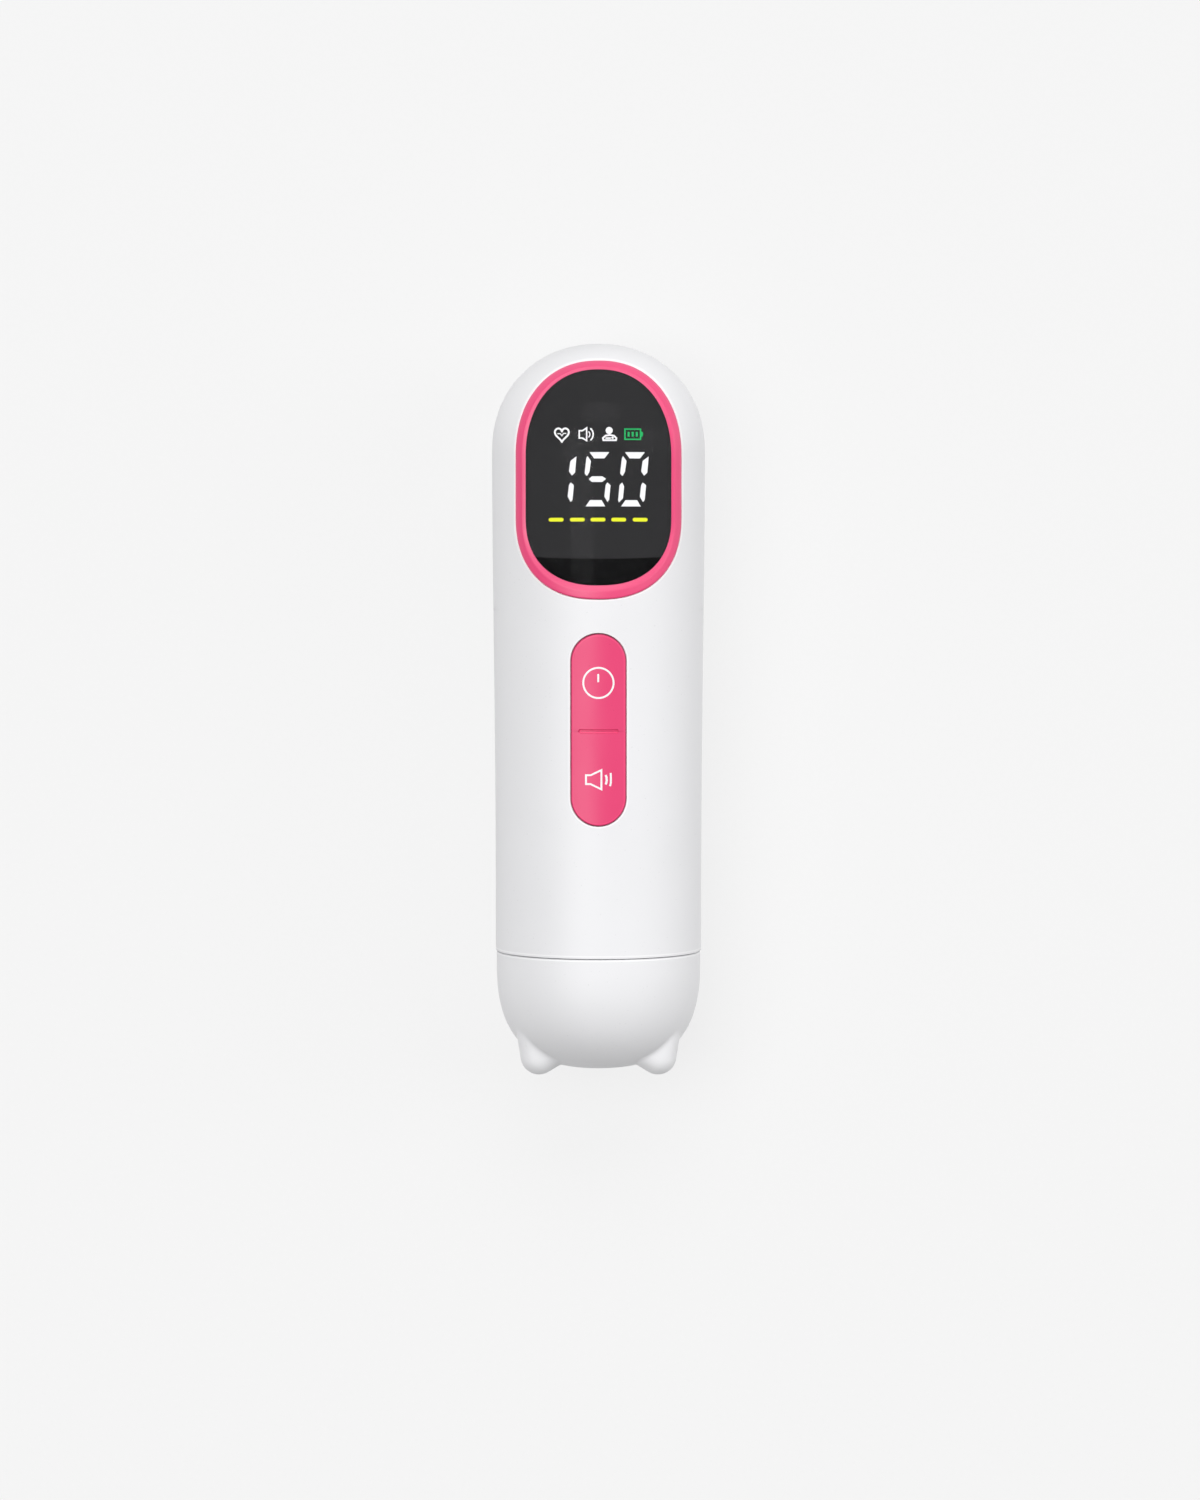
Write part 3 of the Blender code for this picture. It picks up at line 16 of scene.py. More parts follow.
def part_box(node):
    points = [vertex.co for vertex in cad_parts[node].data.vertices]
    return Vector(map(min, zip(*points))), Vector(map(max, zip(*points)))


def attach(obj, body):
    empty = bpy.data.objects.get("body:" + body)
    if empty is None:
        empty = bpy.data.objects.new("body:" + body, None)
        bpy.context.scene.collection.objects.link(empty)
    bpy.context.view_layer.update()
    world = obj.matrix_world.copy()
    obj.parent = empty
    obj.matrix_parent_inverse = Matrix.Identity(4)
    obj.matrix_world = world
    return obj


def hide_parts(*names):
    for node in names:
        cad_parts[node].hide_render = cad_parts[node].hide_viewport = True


bl_info = {
    "name": "Fetal Doppler",
    "version": (1, 0, 0),
    "blender": (4, 5, 0),
    "location": "View3D > Sidebar > Doppler",
    "description": "Builds the surfaces, finishes and studio of a pocket fetal doppler",
    "category": "Object",
}

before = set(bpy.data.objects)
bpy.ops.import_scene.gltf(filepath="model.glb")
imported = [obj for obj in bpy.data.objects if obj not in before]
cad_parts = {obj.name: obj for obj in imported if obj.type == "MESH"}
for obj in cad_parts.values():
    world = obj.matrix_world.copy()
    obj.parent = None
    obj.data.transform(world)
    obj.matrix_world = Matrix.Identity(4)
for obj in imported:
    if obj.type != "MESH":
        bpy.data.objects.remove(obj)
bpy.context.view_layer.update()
FRONT_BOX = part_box("front_shell")
MM = 0.001
SEAM = FRONT_BOX[0].y
RADIUS = (FRONT_BOX[1].x - FRONT_BOX[0].x) / 2
AXIS = FRONT_BOX[1].z - RADIUS
TO_PLACE = Matrix.Translation((0, SEAM, AXIS))
VIEW_TILT = math.radians(-5)

# How near counts as the same point, as on a cutting plane, and as on the body's outside
MERGE = 0.002 * MM
ON_PLANE = 0.001 * MM
ON_SKIN = 0.02 * MM


def length(name, description, default):
    """A length that a user may change."""
    return FloatProperty(name=name, description=description, default=default, min=0,
                         unit="LENGTH", precision=5)


def amount(name, description, default):
    """A plain number that a user may change."""
    return FloatProperty(name=name, description=description, default=default, min=0)


def angle(name, description, default):
    """An angle in degrees that a user may change."""
    return FloatProperty(name=name, description=description, default=math.radians(default),
                         subtype="ANGLE")


def colour(name, description, default):
    """A colour that a user may change."""
    return FloatVectorProperty(name=name, description=description, default=default, size=3,
                               min=0, max=1, subtype="COLOR")


class BodySizes(bpy.types.PropertyGroup):
    """Sizes of the two shells."""

    radius: length("Radius", "Half the body's width below the crown", RADIUS)
    seam_radius: length("Seam radius", "Half the width at the probe cap's seam", 22.2 * MM)
    taper: amount("Taper", "More lets the side draw in sooner below the crown", 2.7)
    length: length("Length", "From the seam to the crown", FRONT_BOX[1].y - FRONT_BOX[0].y)
    crown: length("Crown height", "Height of the rounded end", 23.1 * MM)
    crown_power: amount("Crown power", "2 is an ellipse, more is squarer", 2.1)
    flat: length("Back flat", "From the axis to the flat back", AXIS)
    wall: length("Wall", "Thickness of the shells", 1.6 * MM)
    hole_edge: length("Hole edge", "Rounding round the ring and the keys", 0.3 * MM)
    seam_edge: length("Seam edge", "Rounding at the probe cap's seam", 0.35 * MM)
    parting_edge: length("Parting edge", "Rounding along the side", 0.14 * MM)
    parting_gap: length("Parting gap", "Between the two shells", 0.10 * MM)


class RingSizes(bpy.types.PropertyGroup):
    """Sizes of the display ring and the window in it."""

    half_width: length("Half width", "Half the ring's width", 17.87 * MM)
    rise: length("Rise", "Top arc above the straight sides", 20.4 * MM)
    straight: length("Straight", "Length of the straight sides", 13.0 * MM)
    fall: length("Fall", "Bottom arc below the straight sides", 17.3 * MM)
    side: length("Side band", "Width of the ring at its sides", 2.17 * MM)
    top: length("Top band", "Width of the ring at its top", 1.72 * MM)
    bottom: length("Bottom band", "Width of the ring at its bottom", 2.95 * MM)
    top_power: amount("Top power", "Roundness of the top arc", 2.2)
    bottom_power: amount("Bottom power", "Roundness of the bottom arc", 2.4)
    proud: length("Proud", "How far the ring stands off the body", 0.32 * MM)
    gap: length("Gap", "Between the ring and the shell", 0.10 * MM)
    wall: length("Wall", "How deep the ring reaches into the body", 1.6 * MM)
    outer_edge: length("Outer edge", "Rounding of the ring's outer edge", 0.35 * MM)
    crown_share: amount("Crown share", "Share of the ring's width before its slope", 0.5)
    lip_above_window: length("Lip", "How far the slope ends above the window", 0.05 * MM)
    window_sink: length("Window sink", "Window below the body's surface", 0.2 * MM)
    window_wall: length("Window thickness", "Thickness of the window", 0.5 * MM)
    window_gap: length("Window gap", "Between the ring and the window", 0.05 * MM)
    window_edge: length("Window edge", "Rounding of the window's edge", 0.05 * MM)
    backing_sink: length("Backing sink", "Display backing below the surface", 0.75 * MM)
    backing_wall: length("Backing thickness", "Thickness of the display backing", 0.4 * MM)
    glow: length("Glow", "From the crown's top down to the end of the backing's glow", 44.7 * MM)


class KeySizes(bpy.types.PropertyGroup):
    """Sizes of the key strip."""

    high: length("Top end", "Top end of the strip above the seam", 70.4 * MM)
    length: length("Length", "Length of the whole strip", 41.65 * MM)
    divider: length("Divider", "From the top end down to the divider", 21.1 * MM)
    half_width: length("Half width", "Half the strip's width", 6.0 * MM)
    gap: length("Gap", "Between the strip and the shell", 0.13 * MM)
    proud: length("Proud", "How far the strip stands off the body", 0.12 * MM)
    edge: length("Edge", "Rounding of the strip's edge", 0.4 * MM)
    wall: length("Wall", "Thickness of the strip", 1.2 * MM)
    parting: length("Parting", "Between the two keys", 0.05 * MM)
    groove_length: length("Groove length", "Divider groove across the strip", 8.5 * MM)
    groove_width: length("Groove width", "Divider groove along the strip", 0.9 * MM)
    groove_depth: length("Groove depth", "Depth of the divider groove", 0.36 * MM)


class CapSizes(bpy.types.PropertyGroup):
    """Sizes of the probe cap and its ears."""

    radius: length("Radius", "Half the cap's width", 22.0 * MM)
    skirt: length("Skirt", "Straight part of the cap", 2.0 * MM)
    dome: length("Dome", "Height of the cap's closed end", 23.49 * MM)
    power: amount("Dome power", "2 is an ellipse, more is squarer", 2.65)
    gap: length("Seam gap", "Between the cap and the body", 0.18 * MM)
    edge: length("Edge", "Rounding of the open end", 0.4 * MM)
    wall: length("Wall", "Thickness of the cap", 1.3 * MM)
    ear_radius: length("Ear radius", "Radius of an ear's tip", 4.0 * MM)
    ear_height: length("Ear height", "From the middle plane to an ear's front", 10.4 * MM)
    ear_depth: length("Ear depth", "Half an ear's thickness from back to front", 5.6 * MM)
    ear_taper: amount("Ear taper", "An ear's thickness at its tip as a share of its root's", 0.9)
    ear_power: amount("Ear power", "2 is an ellipse from back to front, more is squarer", 2.7)
    ear_spread: length("Ear spread", "From the axis to an ear's tip", 12.86 * MM)
    ear_drop: length("Ear drop", "From the seam to an ear's tip", 22.6 * MM)
    ear_tilt: angle("Ear tilt", "Lean of an ear away from the axis", 25)
    ear_flare: angle("Ear flare", "Half the angle of an ear's cone", 34)
    ear_blend: length("Ear blend", "Softness of the fillet round an ear", 0.3 * MM)


class ProbeSizes(bpy.types.PropertyGroup):
    """Sizes of the probe under the cap, with heights taken from the seam."""

    radius: length("Radius", "Outer radius of the housing", 20.3 * MM)
    wall: length("Wall", "Thickness of the housing", 3.0 * MM)
    top: length("Top", "How far the housing reaches into the body", 9.0 * MM)
    rib_low: length("Rib groove foot", "Foot of the groove for the shells' rib", 3.6 * MM)
    rib_high: length("Rib groove top", "Top of the groove for the shells' rib", 5.4 * MM)
    rib_depth: length("Rib groove depth", "Depth of the groove for the rib", 1.4 * MM)
    grip: length("Grip ring", "From the seam to the middle of the grip ring", 4.0 * MM)
    grip_width: length("Grip groove", "Half the width of the grip ring's groove", 0.85 * MM)
    grip_depth: length("Grip groove depth", "Depth of the grip ring's groove", 1.3 * MM)
    grip_wire: length("Grip wire", "Radius of the grip ring's wire", 0.55 * MM)
    grip_reach: length("Grip reach", "From the axis to the middle of the wire", 19.85 * MM)
    collar: length("Collar", "Straight part below the seam", 8.0 * MM)
    nose: length("Nose radius", "Radius of the housing's end", 17.6 * MM)
    foot: length("Nose length", "From the seam to the housing's end", 14.2 * MM)
    lip: length("Lip", "Width and height of the lip round the face", 1.8 * MM)
    face: length("Face radius", "Radius of the soft face", 15.5 * MM)
    crown: length("Face crown", "How far the face bulges out of the housing", 1.25 * MM)


class DetailSizes(bpy.types.PropertyGroup):
    """Sizes of the grille, the shell screws and the ports."""

    grille_pitch: length("Grille pitch", "Between the grille's rings of holes", 2.7 * MM)
    grille_hole: length("Grille hole", "Radius of a grille hole", 0.75 * MM)
    grille_flare: length("Grille flare", "Widening of a grille hole", 0.1 * MM)
    well: length("Screw well", "Radius of the wells over the screws", 2.35 * MM)
    well_floor: length("Well floor", "From the axis to the floor of the wells", 7.0 * MM)
    well_flare: length("Well flare", "Widening of a well at the surface", 0.05 * MM)
    head: length("Screw head", "Radius of a screw's head", 2.0 * MM)
    head_height: length("Head height", "Height of a screw's head", 1.3 * MM)
    shank: length("Screw shank", "Radius of a screw's shank", 0.9 * MM)
    cross: length("Cross", "Length of the recess in a screw's head", 2.4 * MM)
    cross_width: length("Cross width", "Width of the recess in a screw's head", 0.5 * MM)
    cross_depth: length("Cross depth", "Depth of the recess in a screw's head", 0.75 * MM)
    socket_high: length("Charging height", "Half the height of its opening", 1.75 * MM)
    socket_wide: length("Charging width", "Half the width of its opening", 4.75 * MM)
    socket_wall: length("Charging wall", "Thickness of the socket's metal", 0.32 * MM)
    tongue: length("Tongue", "Thickness of the charging socket's tongue", 0.7 * MM)
    contact: length("Contact", "Length of a charging contact", 2.6 * MM)
    contact_pitch: length("Contact pitch", "Between the charging contacts", 0.68 * MM)
    jack_hole: length("Earphone opening", "Radius of the hole in the shell", 2.75 * MM)
    jack_bore: length("Earphone bore", "Radius of the jack's bore", 1.75 * MM)
    jack_nose: length("Earphone nose", "Radius of the jack's nose", 2.5 * MM)
    jack_body: length("Earphone body", "Radius of the jack's body", 2.7 * MM)
    jack_chamfer: length("Earphone chamfer", "Bevel at the nose and the bore", 0.25 * MM)


class Colours(bpy.types.PropertyGroup):
    """Colours of the finishes that show."""

    white: colour("White", "Shells and probe cap", (0.83, 0.83, 0.845))
    # The rim colour is a painted highlight, laid round the shell's openings and beside the seam
    rim: colour("Rim", "Polished rims of the shell's openings", (0.92, 0.92, 0.93))
    pink: colour("Pink", "Key strip", (0.79, 0.061, 0.183))
    ring: colour("Ring", "Display ring", (0.82, 0.064, 0.198))
    mark: colour("Marks", "Printed marks on the keys", (0.9, 0.9, 0.9))
    window: colour("Window", "Tint of the display window", (0.55, 0.55, 0.56))
    display: colour("Display", "Faint glow of the display's backing", (0.054, 0.054, 0.055))
    digit: colour("Digits", "Lit digits and icons", (1.0, 1.0, 1.0))
    level: colour("Level bars", "Lit bars below the digits", (0.80, 0.84, 0.03))
    charge: colour("Charge", "Lit battery icon", (0.015, 0.50, 0.13))


class DopplerSettings(bpy.types.PropertyGroup):
    """Everything that a user may change."""

    body: PointerProperty(type=BodySizes)
    ring: PointerProperty(type=RingSizes)
    keys: PointerProperty(type=KeySizes)
    cap: PointerProperty(type=CapSizes)
    probe: PointerProperty(type=ProbeSizes)
    details: PointerProperty(type=DetailSizes)
    colours: PointerProperty(type=Colours)


def settings():
    """The scene's doppler settings."""
    return bpy.context.scene.doppler


# Shape of the body

# Numbers of points; chains with a skin between them have equally many
QUARTER = 36
SIDE = 14
CORNER = 15
KEY_ARC = QUARTER - CORNER
KEY_SIDE = 34
SPLIT_SHARE = 0.5


def body_radius(along, offset=0.0):
    """The body's radius at a distance from the seam, grown by an offset."""
    body = settings().body
    top = body.length - body.crown
    if along <= top:
        share = max(along / top, 0)
        growth = share**body.taper * (1 + body.taper * (1 - share))
        return body.seam_radius + (body.radius - body.seam_radius) * growth + offset
    rise = min((along - top) / (body.crown + offset), 1)
    return (body.radius + offset) * (1 - rise**body.crown_power) ** (1 / body.crown_power)


def on_body(x, y, offset=0.0):
    """The point of the body's front, grown by an offset, that shows at a place."""
    return Vector((x, y, math.sqrt(max(body_radius(y, offset) ** 2 - x**2, 0))))


def on_front(chain, offset=0.0):
    """A chain of places laid on the body's front, grown by an offset."""
    return [on_body(x, y, offset) for x, y in chain]


def quarter_turns(count):
    """Angles from zero to a right angle in equal steps."""
    return [math.pi / 2 * step / count for step in range(count + 1)]


def quarter(half_width, height, power, count):
    """A superellipse's quarter from its top on the axis out to its side."""
    return [
        (half_width * max(math.cos(turn), 0) ** (2 / power),
         height * math.sin(turn) ** (2 / power))
        for turn in quarter_turns(count)[::-1]
    ]


def round_end(half, middle, count, side=1):
    """The right half of a strip's round end, from its tip out to its side."""
    return [
        (half * math.cos(turn), middle + side * half * math.sin(turn))
        for turn in quarter_turns(count)[::-1]
    ]


def shoulder():
    """How far from the seam the rounded end starts."""
    return settings().body.length - settings().body.crown


def ring_chain(inset, side=0.0, top=0.0, bottom=0.0):
    """The right half of the ring's outline from top to bottom, inset, and in by three bands."""
    ring = settings().ring
    high = shoulder()
    half = ring.half_width - side - inset
    upper = quarter(half, ring.rise - top - inset, ring.top_power, QUARTER)
    lower = quarter(half, ring.fall - bottom - inset, ring.bottom_power, QUARTER)
    chain = [(x, high + y) for x, y in upper]
    chain += [(half, high - ring.straight * step / SIDE) for step in range(1, SIDE)]
    return chain + [(x, high - ring.straight - y) for x, y in reversed(lower)]


def ring_foot():
    """How far the ring's lowest point is from the seam."""
    ring = settings().ring
    return shoulder() - ring.straight - ring.fall


def window_chain(inset):
    """The right half of the window's outline from top to bottom, inset alike all round."""
    ring = settings().ring
    return ring_chain(inset, ring.side, ring.top, ring.bottom)


def split_line():
    """Where the shell's mesh is split between the ring and the keys, with its points."""
    foot = ring_foot()
    along = foot + (settings().keys.high - foot) * SPLIT_SHARE
    width = side_point(along, settings().body.parting_gap / 2)[0]
    return along, [(width * step / KEY_ARC, along) for step in range(KEY_ARC + 1)]


def side_point(along, gap):
    """The shell's edge at its parting, a little in front of the axis."""
    return math.sqrt(max(body_radius(along) ** 2 - gap**2, 0)), along


def crown_chain():
    """The shell's edge at its parting, from the crown's top down to where it ends."""
    body = settings().body
    crown = quarter(body.radius, body.crown, body.crown_power, QUARTER)
    return [(x, shoulder() + y) for x, y in crown]


def body_chain():
    """The shell's edge round the ring, from the crown down and in along the split line."""
    gap = settings().body.parting_gap / 2
    straight = settings().ring.straight
    high = shoulder()
    foot = high - straight
    low, line = split_line()
    chain = crown_chain()
    chain += [side_point(high - straight * step / SIDE, gap) for step in range(1, SIDE)]
    chain += [side_point(foot + (low - foot) * step / CORNER, gap) for step in range(CORNER)]
    return chain + line[::-1]


def key_chain(grow):
    """The right half of the key strip's outline from top to bottom."""
    keys = settings().keys
    half = keys.half_width + grow
    top = keys.high - keys.half_width
    foot = keys.high - keys.length + keys.half_width
    side = [(half, top + (foot - top) * step / KEY_SIDE) for step in range(1, KEY_SIDE)]
    return round_end(half, top, KEY_ARC) + side + round_end(half, foot, KEY_ARC, -1)[::-1]


def skirt_chain():
    """The shell's edge round the keys: split line, side, and seam."""
    gap = settings().body.parting_gap / 2
    high, line = split_line()
    side = [side_point(high * (1 - step / KEY_SIDE), gap) for step in range(1, KEY_SIDE)]
    width = side_point(0, gap)[0]
    return line + side + [(width * (1 - step / KEY_ARC), 0) for step in range(KEY_ARC + 1)]


# Mesh helpers


def between(first, second, share):
    """The points that lie a share of the way from one chain to another."""
    return [
        tuple(a + (b - a) * share for a, b in zip(start, end))
        for start, end in zip(first, second)
    ]


def loft(shape, rows, closed=False):
    """Draws a chain of points out through the rows that follow it."""
    column = shape.verts.layers.int.get("column") or shape.verts.layers.int.new("column")
    verts = [shape.verts.new(point) for point in rows[0]]
    for number, vert in enumerate(verts):
        vert[column] = number
    pairs = list(zip(verts, verts[1:]))
    if closed:
        pairs.append((verts[-1], verts[0]))
    edges = [shape.edges.new(pair) for pair in pairs]
    for points in rows[1:]:
        made = bmesh.ops.extrude_edge_only(shape, edges=edges)["geom"]
        moved = {item for item in made if isinstance(item, bmesh.types.BMVert)}
        for vert in moved:
            vert.co = points[vert[column]]
        edges = [
            item for item in made
            if isinstance(item, bmesh.types.BMEdge) and set(item.verts) <= moved
        ]


def everything(shape):
    """All of a shape's vertices, edges and faces."""
    return shape.verts[:] + shape.edges[:] + shape.faces[:]


def cleaned(shape):
    """Merges doubled points and turns every face outwards."""
    bmesh.ops.remove_doubles(shape, verts=shape.verts, dist=MERGE)
    bmesh.ops.recalc_face_normals(shape, faces=shape.faces)


def capped(shape):
    """Merges doubled points, closes open ends and turns every face outwards."""
    bmesh.ops.remove_doubles(shape, verts=shape.verts, dist=MERGE)
    bmesh.ops.holes_fill(shape, edges=shape.edges, sides=0)
    bmesh.ops.recalc_face_normals(shape, faces=shape.faces)


def mirrored(shape):
    """Adds the left half, and turns every face outwards."""
    bmesh.ops.remove_doubles(shape, verts=shape.verts, dist=MERGE)
    bmesh.ops.mirror(shape, geom=everything(shape), axis="X", merge_dist=MERGE)
    bmesh.ops.remove_doubles(shape, verts=shape.verts, dist=MERGE)
    bmesh.ops.dissolve_degenerate(shape, dist=MERGE, edges=shape.edges)
    bmesh.ops.recalc_face_normals(shape, faces=shape.faces)


def facing(shape, direction):
    """Turns an open skin's faces so that they mostly face a direction."""
    shape.normal_update()
    total = sum((face.normal * face.calc_area() for face in shape.faces), Vector())
    if total.dot(Vector(direction)) < 0:
        bmesh.ops.reverse_faces(shape, faces=shape.faces)


def sharp_edges(shape, wanted):
    """The edges with a corner between their faces, where a test holds for both ends."""
    corner = 1.0
    shape.normal_update()
    return [
        edge for edge in shape.edges
        if edge.is_manifold and edge.calc_face_angle() > corner
        and all(wanted(vert.co) for vert in edge.verts)
    ]


def rounded(shape, edges, width, segments):
    """Rounds edges."""
    bmesh.ops.bevel(shape, geom=edges, offset=width, offset_type="OFFSET", segments=segments,
                    profile=0.5, affect="EDGES", material=-1, clamp_overlap=True)


def cut_at_flat(shape):
    """Cuts away what reaches behind the flat back, and gives the edges of the cut."""
    cut = bmesh.ops.bisect_plane(
        shape, geom=everything(shape), plane_co=(0, 0, -settings().body.flat),
        plane_no=(0, 0, -1), clear_outer=True, dist=ON_PLANE)
    return [item for item in cut["geom_cut"] if isinstance(item, bmesh.types.BMEdge)]


def block(shape, centre, size):
    """Adds a box."""
    place = Matrix.Translation(centre) @ Matrix.Diagonal((*size, 1))
    bmesh.ops.create_cube(shape, size=1, matrix=place)


def raw_mesh(shape, name):
    """Makes a shape a mesh."""
    mesh = bpy.data.meshes.new(name)
    shape.to_mesh(mesh)
    shape.free()
    return mesh


def smoothed(mesh, angle):
    """Smooths a mesh's faces, apart from its corners above an angle."""
    mesh.shade_smooth()
    mesh.set_sharp_from_angle(angle=math.radians(angle))


def piece(name, mesh, body, look, replaces=()):
    """Adds a mesh to the scene as a piece that rides on a body."""
    part = bpy.data.objects.new(name, mesh)
    bpy.context.scene.collection.objects.link(part)
    mesh.materials.clear()
    mesh.materials.append(finishes()[look])
    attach(part, body)
    if replaces:
        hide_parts(*replaces)


def add(name, shape, body, look, replaces=()):
    """Adds a shape as a smooth piece at its place in the scene."""
    mesh = raw_mesh(shape, name)
    mesh.transform(TO_PLACE)
    smoothed(mesh, 40)
    piece(name, mesh, body, look, replaces)


def turned(outline, steps, axis="Y"):
    """A profile of (radius, along) points turned about an axis into a closed shape."""
    shape = bmesh.new()
    direction = Vector((0, 1, 0) if axis == "Y" else (0, 0, 1))
    verts = [
        shape.verts.new(Vector((radius, 0, 0)) + direction * along)
        for radius, along in outline
    ]
    edges = [shape.edges.new(pair) for pair in zip(verts, verts[1:])]
    bmesh.ops.spin(shape, geom=verts + edges, cent=(0, 0, 0), axis=direction,
                   angle=math.tau, steps=steps, use_merge=True)
    cleaned(shape)
    return shape


def softened(outline, radius):
    """A closed outline with every corner rounded, and its first point again at its end."""
    count = 4
    most = 0.45
    points = [Vector(point) for point in outline]
    soft = []
    for index, corner in enumerate(points):
        before = points[index - 1] - corner
        after = points[(index + 1) % len(points)] - corner
        reach = min(radius, before.length * most, after.length * most)
        start = corner + before.normalized() * reach
        end = corner + after.normalized() * reach
        for step in range(count + 1):
            share = step / count
            soft.append(start.lerp(corner, share).lerp(corner.lerp(end, share), share)[:])
    return soft + soft[:1]


# Finishes


def noise_node(tree, vector, scale, detail, roughness):
    """A noise texture whose scale is a number or a socket."""
    node = tree.nodes.new("ShaderNodeTexNoise")
    node.inputs["Detail"].default_value = detail
    node.inputs["Roughness"].default_value = roughness
    tree.links.new(vector, node.inputs["Vector"])
    if isinstance(scale, (int, float)):
        node.inputs["Scale"].default_value = scale
    else:
        tree.links.new(scale, node.inputs["Scale"])
    return node.outputs["Fac"]


def math_node(tree, operation, first, second=0):
    """A Math node on sockets or numbers."""
    node = tree.nodes.new("ShaderNodeMath")
    node.operation = operation
    for socket, value in zip(node.inputs, (first, second)):
        if isinstance(value, (int, float)):
            socket.default_value = value
        else:
            tree.links.new(value, socket)
    return node.outputs[0]


def moulding(tree, given):
    """Fine grain, broad patches and a few specks, as on moulded plastic."""
    vector = given["Vector"]
    dots = noise_node(tree, vector, given["Grain"], 0.0, 0.5)
    return {
        "Height": noise_node(tree, vector, given["Grain"], 3.0, 0.6),
        "Patches": noise_node(tree, vector, given["Patch"], 2.0, 0.5),
        "Specks": math_node(tree, "GREATER_THAN", dots, 0.83),
    }


def brushing(tree, given):
    """Streaks along one direction, as on drawn or rolled metal."""
    stretch = tree.nodes.new("ShaderNodeMapping")
    stretch.inputs["Scale"].default_value = (1.0, 0.06, 1.0)
    tree.links.new(given["Vector"], stretch.inputs["Vector"])
    return {
        "Streaks": noise_node(tree, stretch.outputs["Vector"], given["Scale"], 3.0, 0.6),
        "Stains": noise_node(tree, given["Vector"], 150.0, 2.0, 0.5),
    }


def threads(tree, given):
    """A fine square mesh of threads."""
    waves = []
    for direction in ("X", "Y"):
        wave = tree.nodes.new("ShaderNodeTexWave")
        wave.bands_direction = direction
        tree.links.new(given["Vector"], wave.inputs["Vector"])
        tree.links.new(given["Threads"], wave.inputs["Scale"])
        waves.append(wave.outputs["Fac"])
    height = math_node(tree, "MAXIMUM", *waves)
    return {"Height": height, "Open": math_node(tree, "LESS_THAN", height, 0.45)}


def tracks(tree, given):
    """Copper tracks and pads under a circuit board's solder mask."""
    bricks = tree.nodes.new("ShaderNodeTexBrick")
    bricks.inputs["Mortar Size"].default_value = 0.04
    cells = tree.nodes.new("ShaderNodeTexVoronoi")
    for node in (bricks, cells):
        tree.links.new(given["Vector"], node.inputs["Vector"])
        tree.links.new(given["Pitch"], node.inputs["Scale"])
    pads = math_node(tree, "LESS_THAN", cells.outputs["Distance"], 0.2)
    return {"Tracks": bricks.outputs["Fac"], "Pads": pads}


EFFECTS = {
    "moulding": (moulding, {"Grain": 2600.0, "Patch": 60.0}),
    "brushing": (brushing, {"Scale": 400.0}),
    "fine_mesh": (threads, {"Threads": 1500.0}),
    "tracks": (tracks, {"Pitch": 500.0}),
}


def effect(tree, place, name):
    """Places a shared effect in a material. Its node group is built the first time."""
    if name not in bpy.data.node_groups:
        make, inputs = EFFECTS[name]
        shared = bpy.data.node_groups.new(name, "ShaderNodeTree")
        sockets = shared.interface
        sockets.new_socket("Vector", in_out="INPUT", socket_type="NodeSocketVector")
        for title, value in inputs.items():
            socket = sockets.new_socket(title, in_out="INPUT", socket_type="NodeSocketFloat")
            socket.default_value = value
        made = make(shared, shared.nodes.new("NodeGroupInput").outputs)
        for title in made:
            sockets.new_socket(title, in_out="OUTPUT", socket_type="NodeSocketFloat")
        end = shared.nodes.new("NodeGroupOutput")
        for title, value in made.items():
            shared.links.new(value, end.inputs[title])
    node = tree.nodes.new("ShaderNodeGroup")
    node.node_tree = bpy.data.node_groups[name]
    tree.links.new(place, node.inputs["Vector"])
    return node.outputs


def new_material(name):
    """A Principled material's node tree, its shader and its Object coordinates."""
    material = bpy.data.materials.new(name)
    material.use_nodes = True
    tree = material.node_tree
    place = tree.nodes.new("ShaderNodeTexCoord").outputs["Object"]
    return tree, tree.nodes["Principled BSDF"], place


def axes(tree, place):
    """A place's X, Y and Z."""
    node = tree.nodes.new("ShaderNodeSeparateXYZ")
    tree.links.new(place, node.inputs["Vector"])
    return node.outputs


def ranged(tree, value, low=0.0, high=1.0, start=0.3, finish=0.7):
    """A value's range from start to finish spread from low to high."""
    node = tree.nodes.new("ShaderNodeMapRange")
    node.inputs["From Min"].default_value = start
    node.inputs["From Max"].default_value = finish
    node.inputs["To Min"].default_value = low
    node.inputs["To Max"].default_value = high
    tree.links.new(value, node.inputs["Value"])
    return node.outputs["Result"]


def mixed(tree, mask, first, second):
    """A colour between two, by a mask."""
    node = tree.nodes.new("ShaderNodeMix")
    node.data_type = "RGBA"
    tree.links.new(mask, node.inputs["Factor"])
    for title, value in (("A", first), ("B", second)):
        socket = next(s for s in node.inputs if s.name == title and s.type == "RGBA")
        if isinstance(value, bpy.types.NodeSocket):
            tree.links.new(value, socket)
        else:
            socket.default_value = (*value, 1)
    return next(s for s in node.outputs if s.type == "RGBA")


def finished(tree, shader, tone, rough, height, strength, distance):
    """Feeds a colour, a roughness and a height to the shader."""
    tree.links.new(tone, shader.inputs["Base Color"])
    if isinstance(rough, float):
        shader.inputs["Roughness"].default_value = rough
    else:
        tree.links.new(rough, shader.inputs["Roughness"])
    bumped(tree, shader, height, strength, distance)


def bumped(tree, shader, height, strength, distance):
    """Feeds a height to the shader's normal."""
    bump = tree.nodes.new("ShaderNodeBump")
    bump.inputs["Strength"].default_value = strength
    bump.inputs["Distance"].default_value = distance
    tree.links.new(height, bump.inputs["Height"])
    tree.links.new(bump.outputs["Normal"], shader.inputs["Normal"])


def shaded(value, factor):
    """A colour made lighter or darker."""
    return tuple(min(channel * factor, 1) for channel in value)


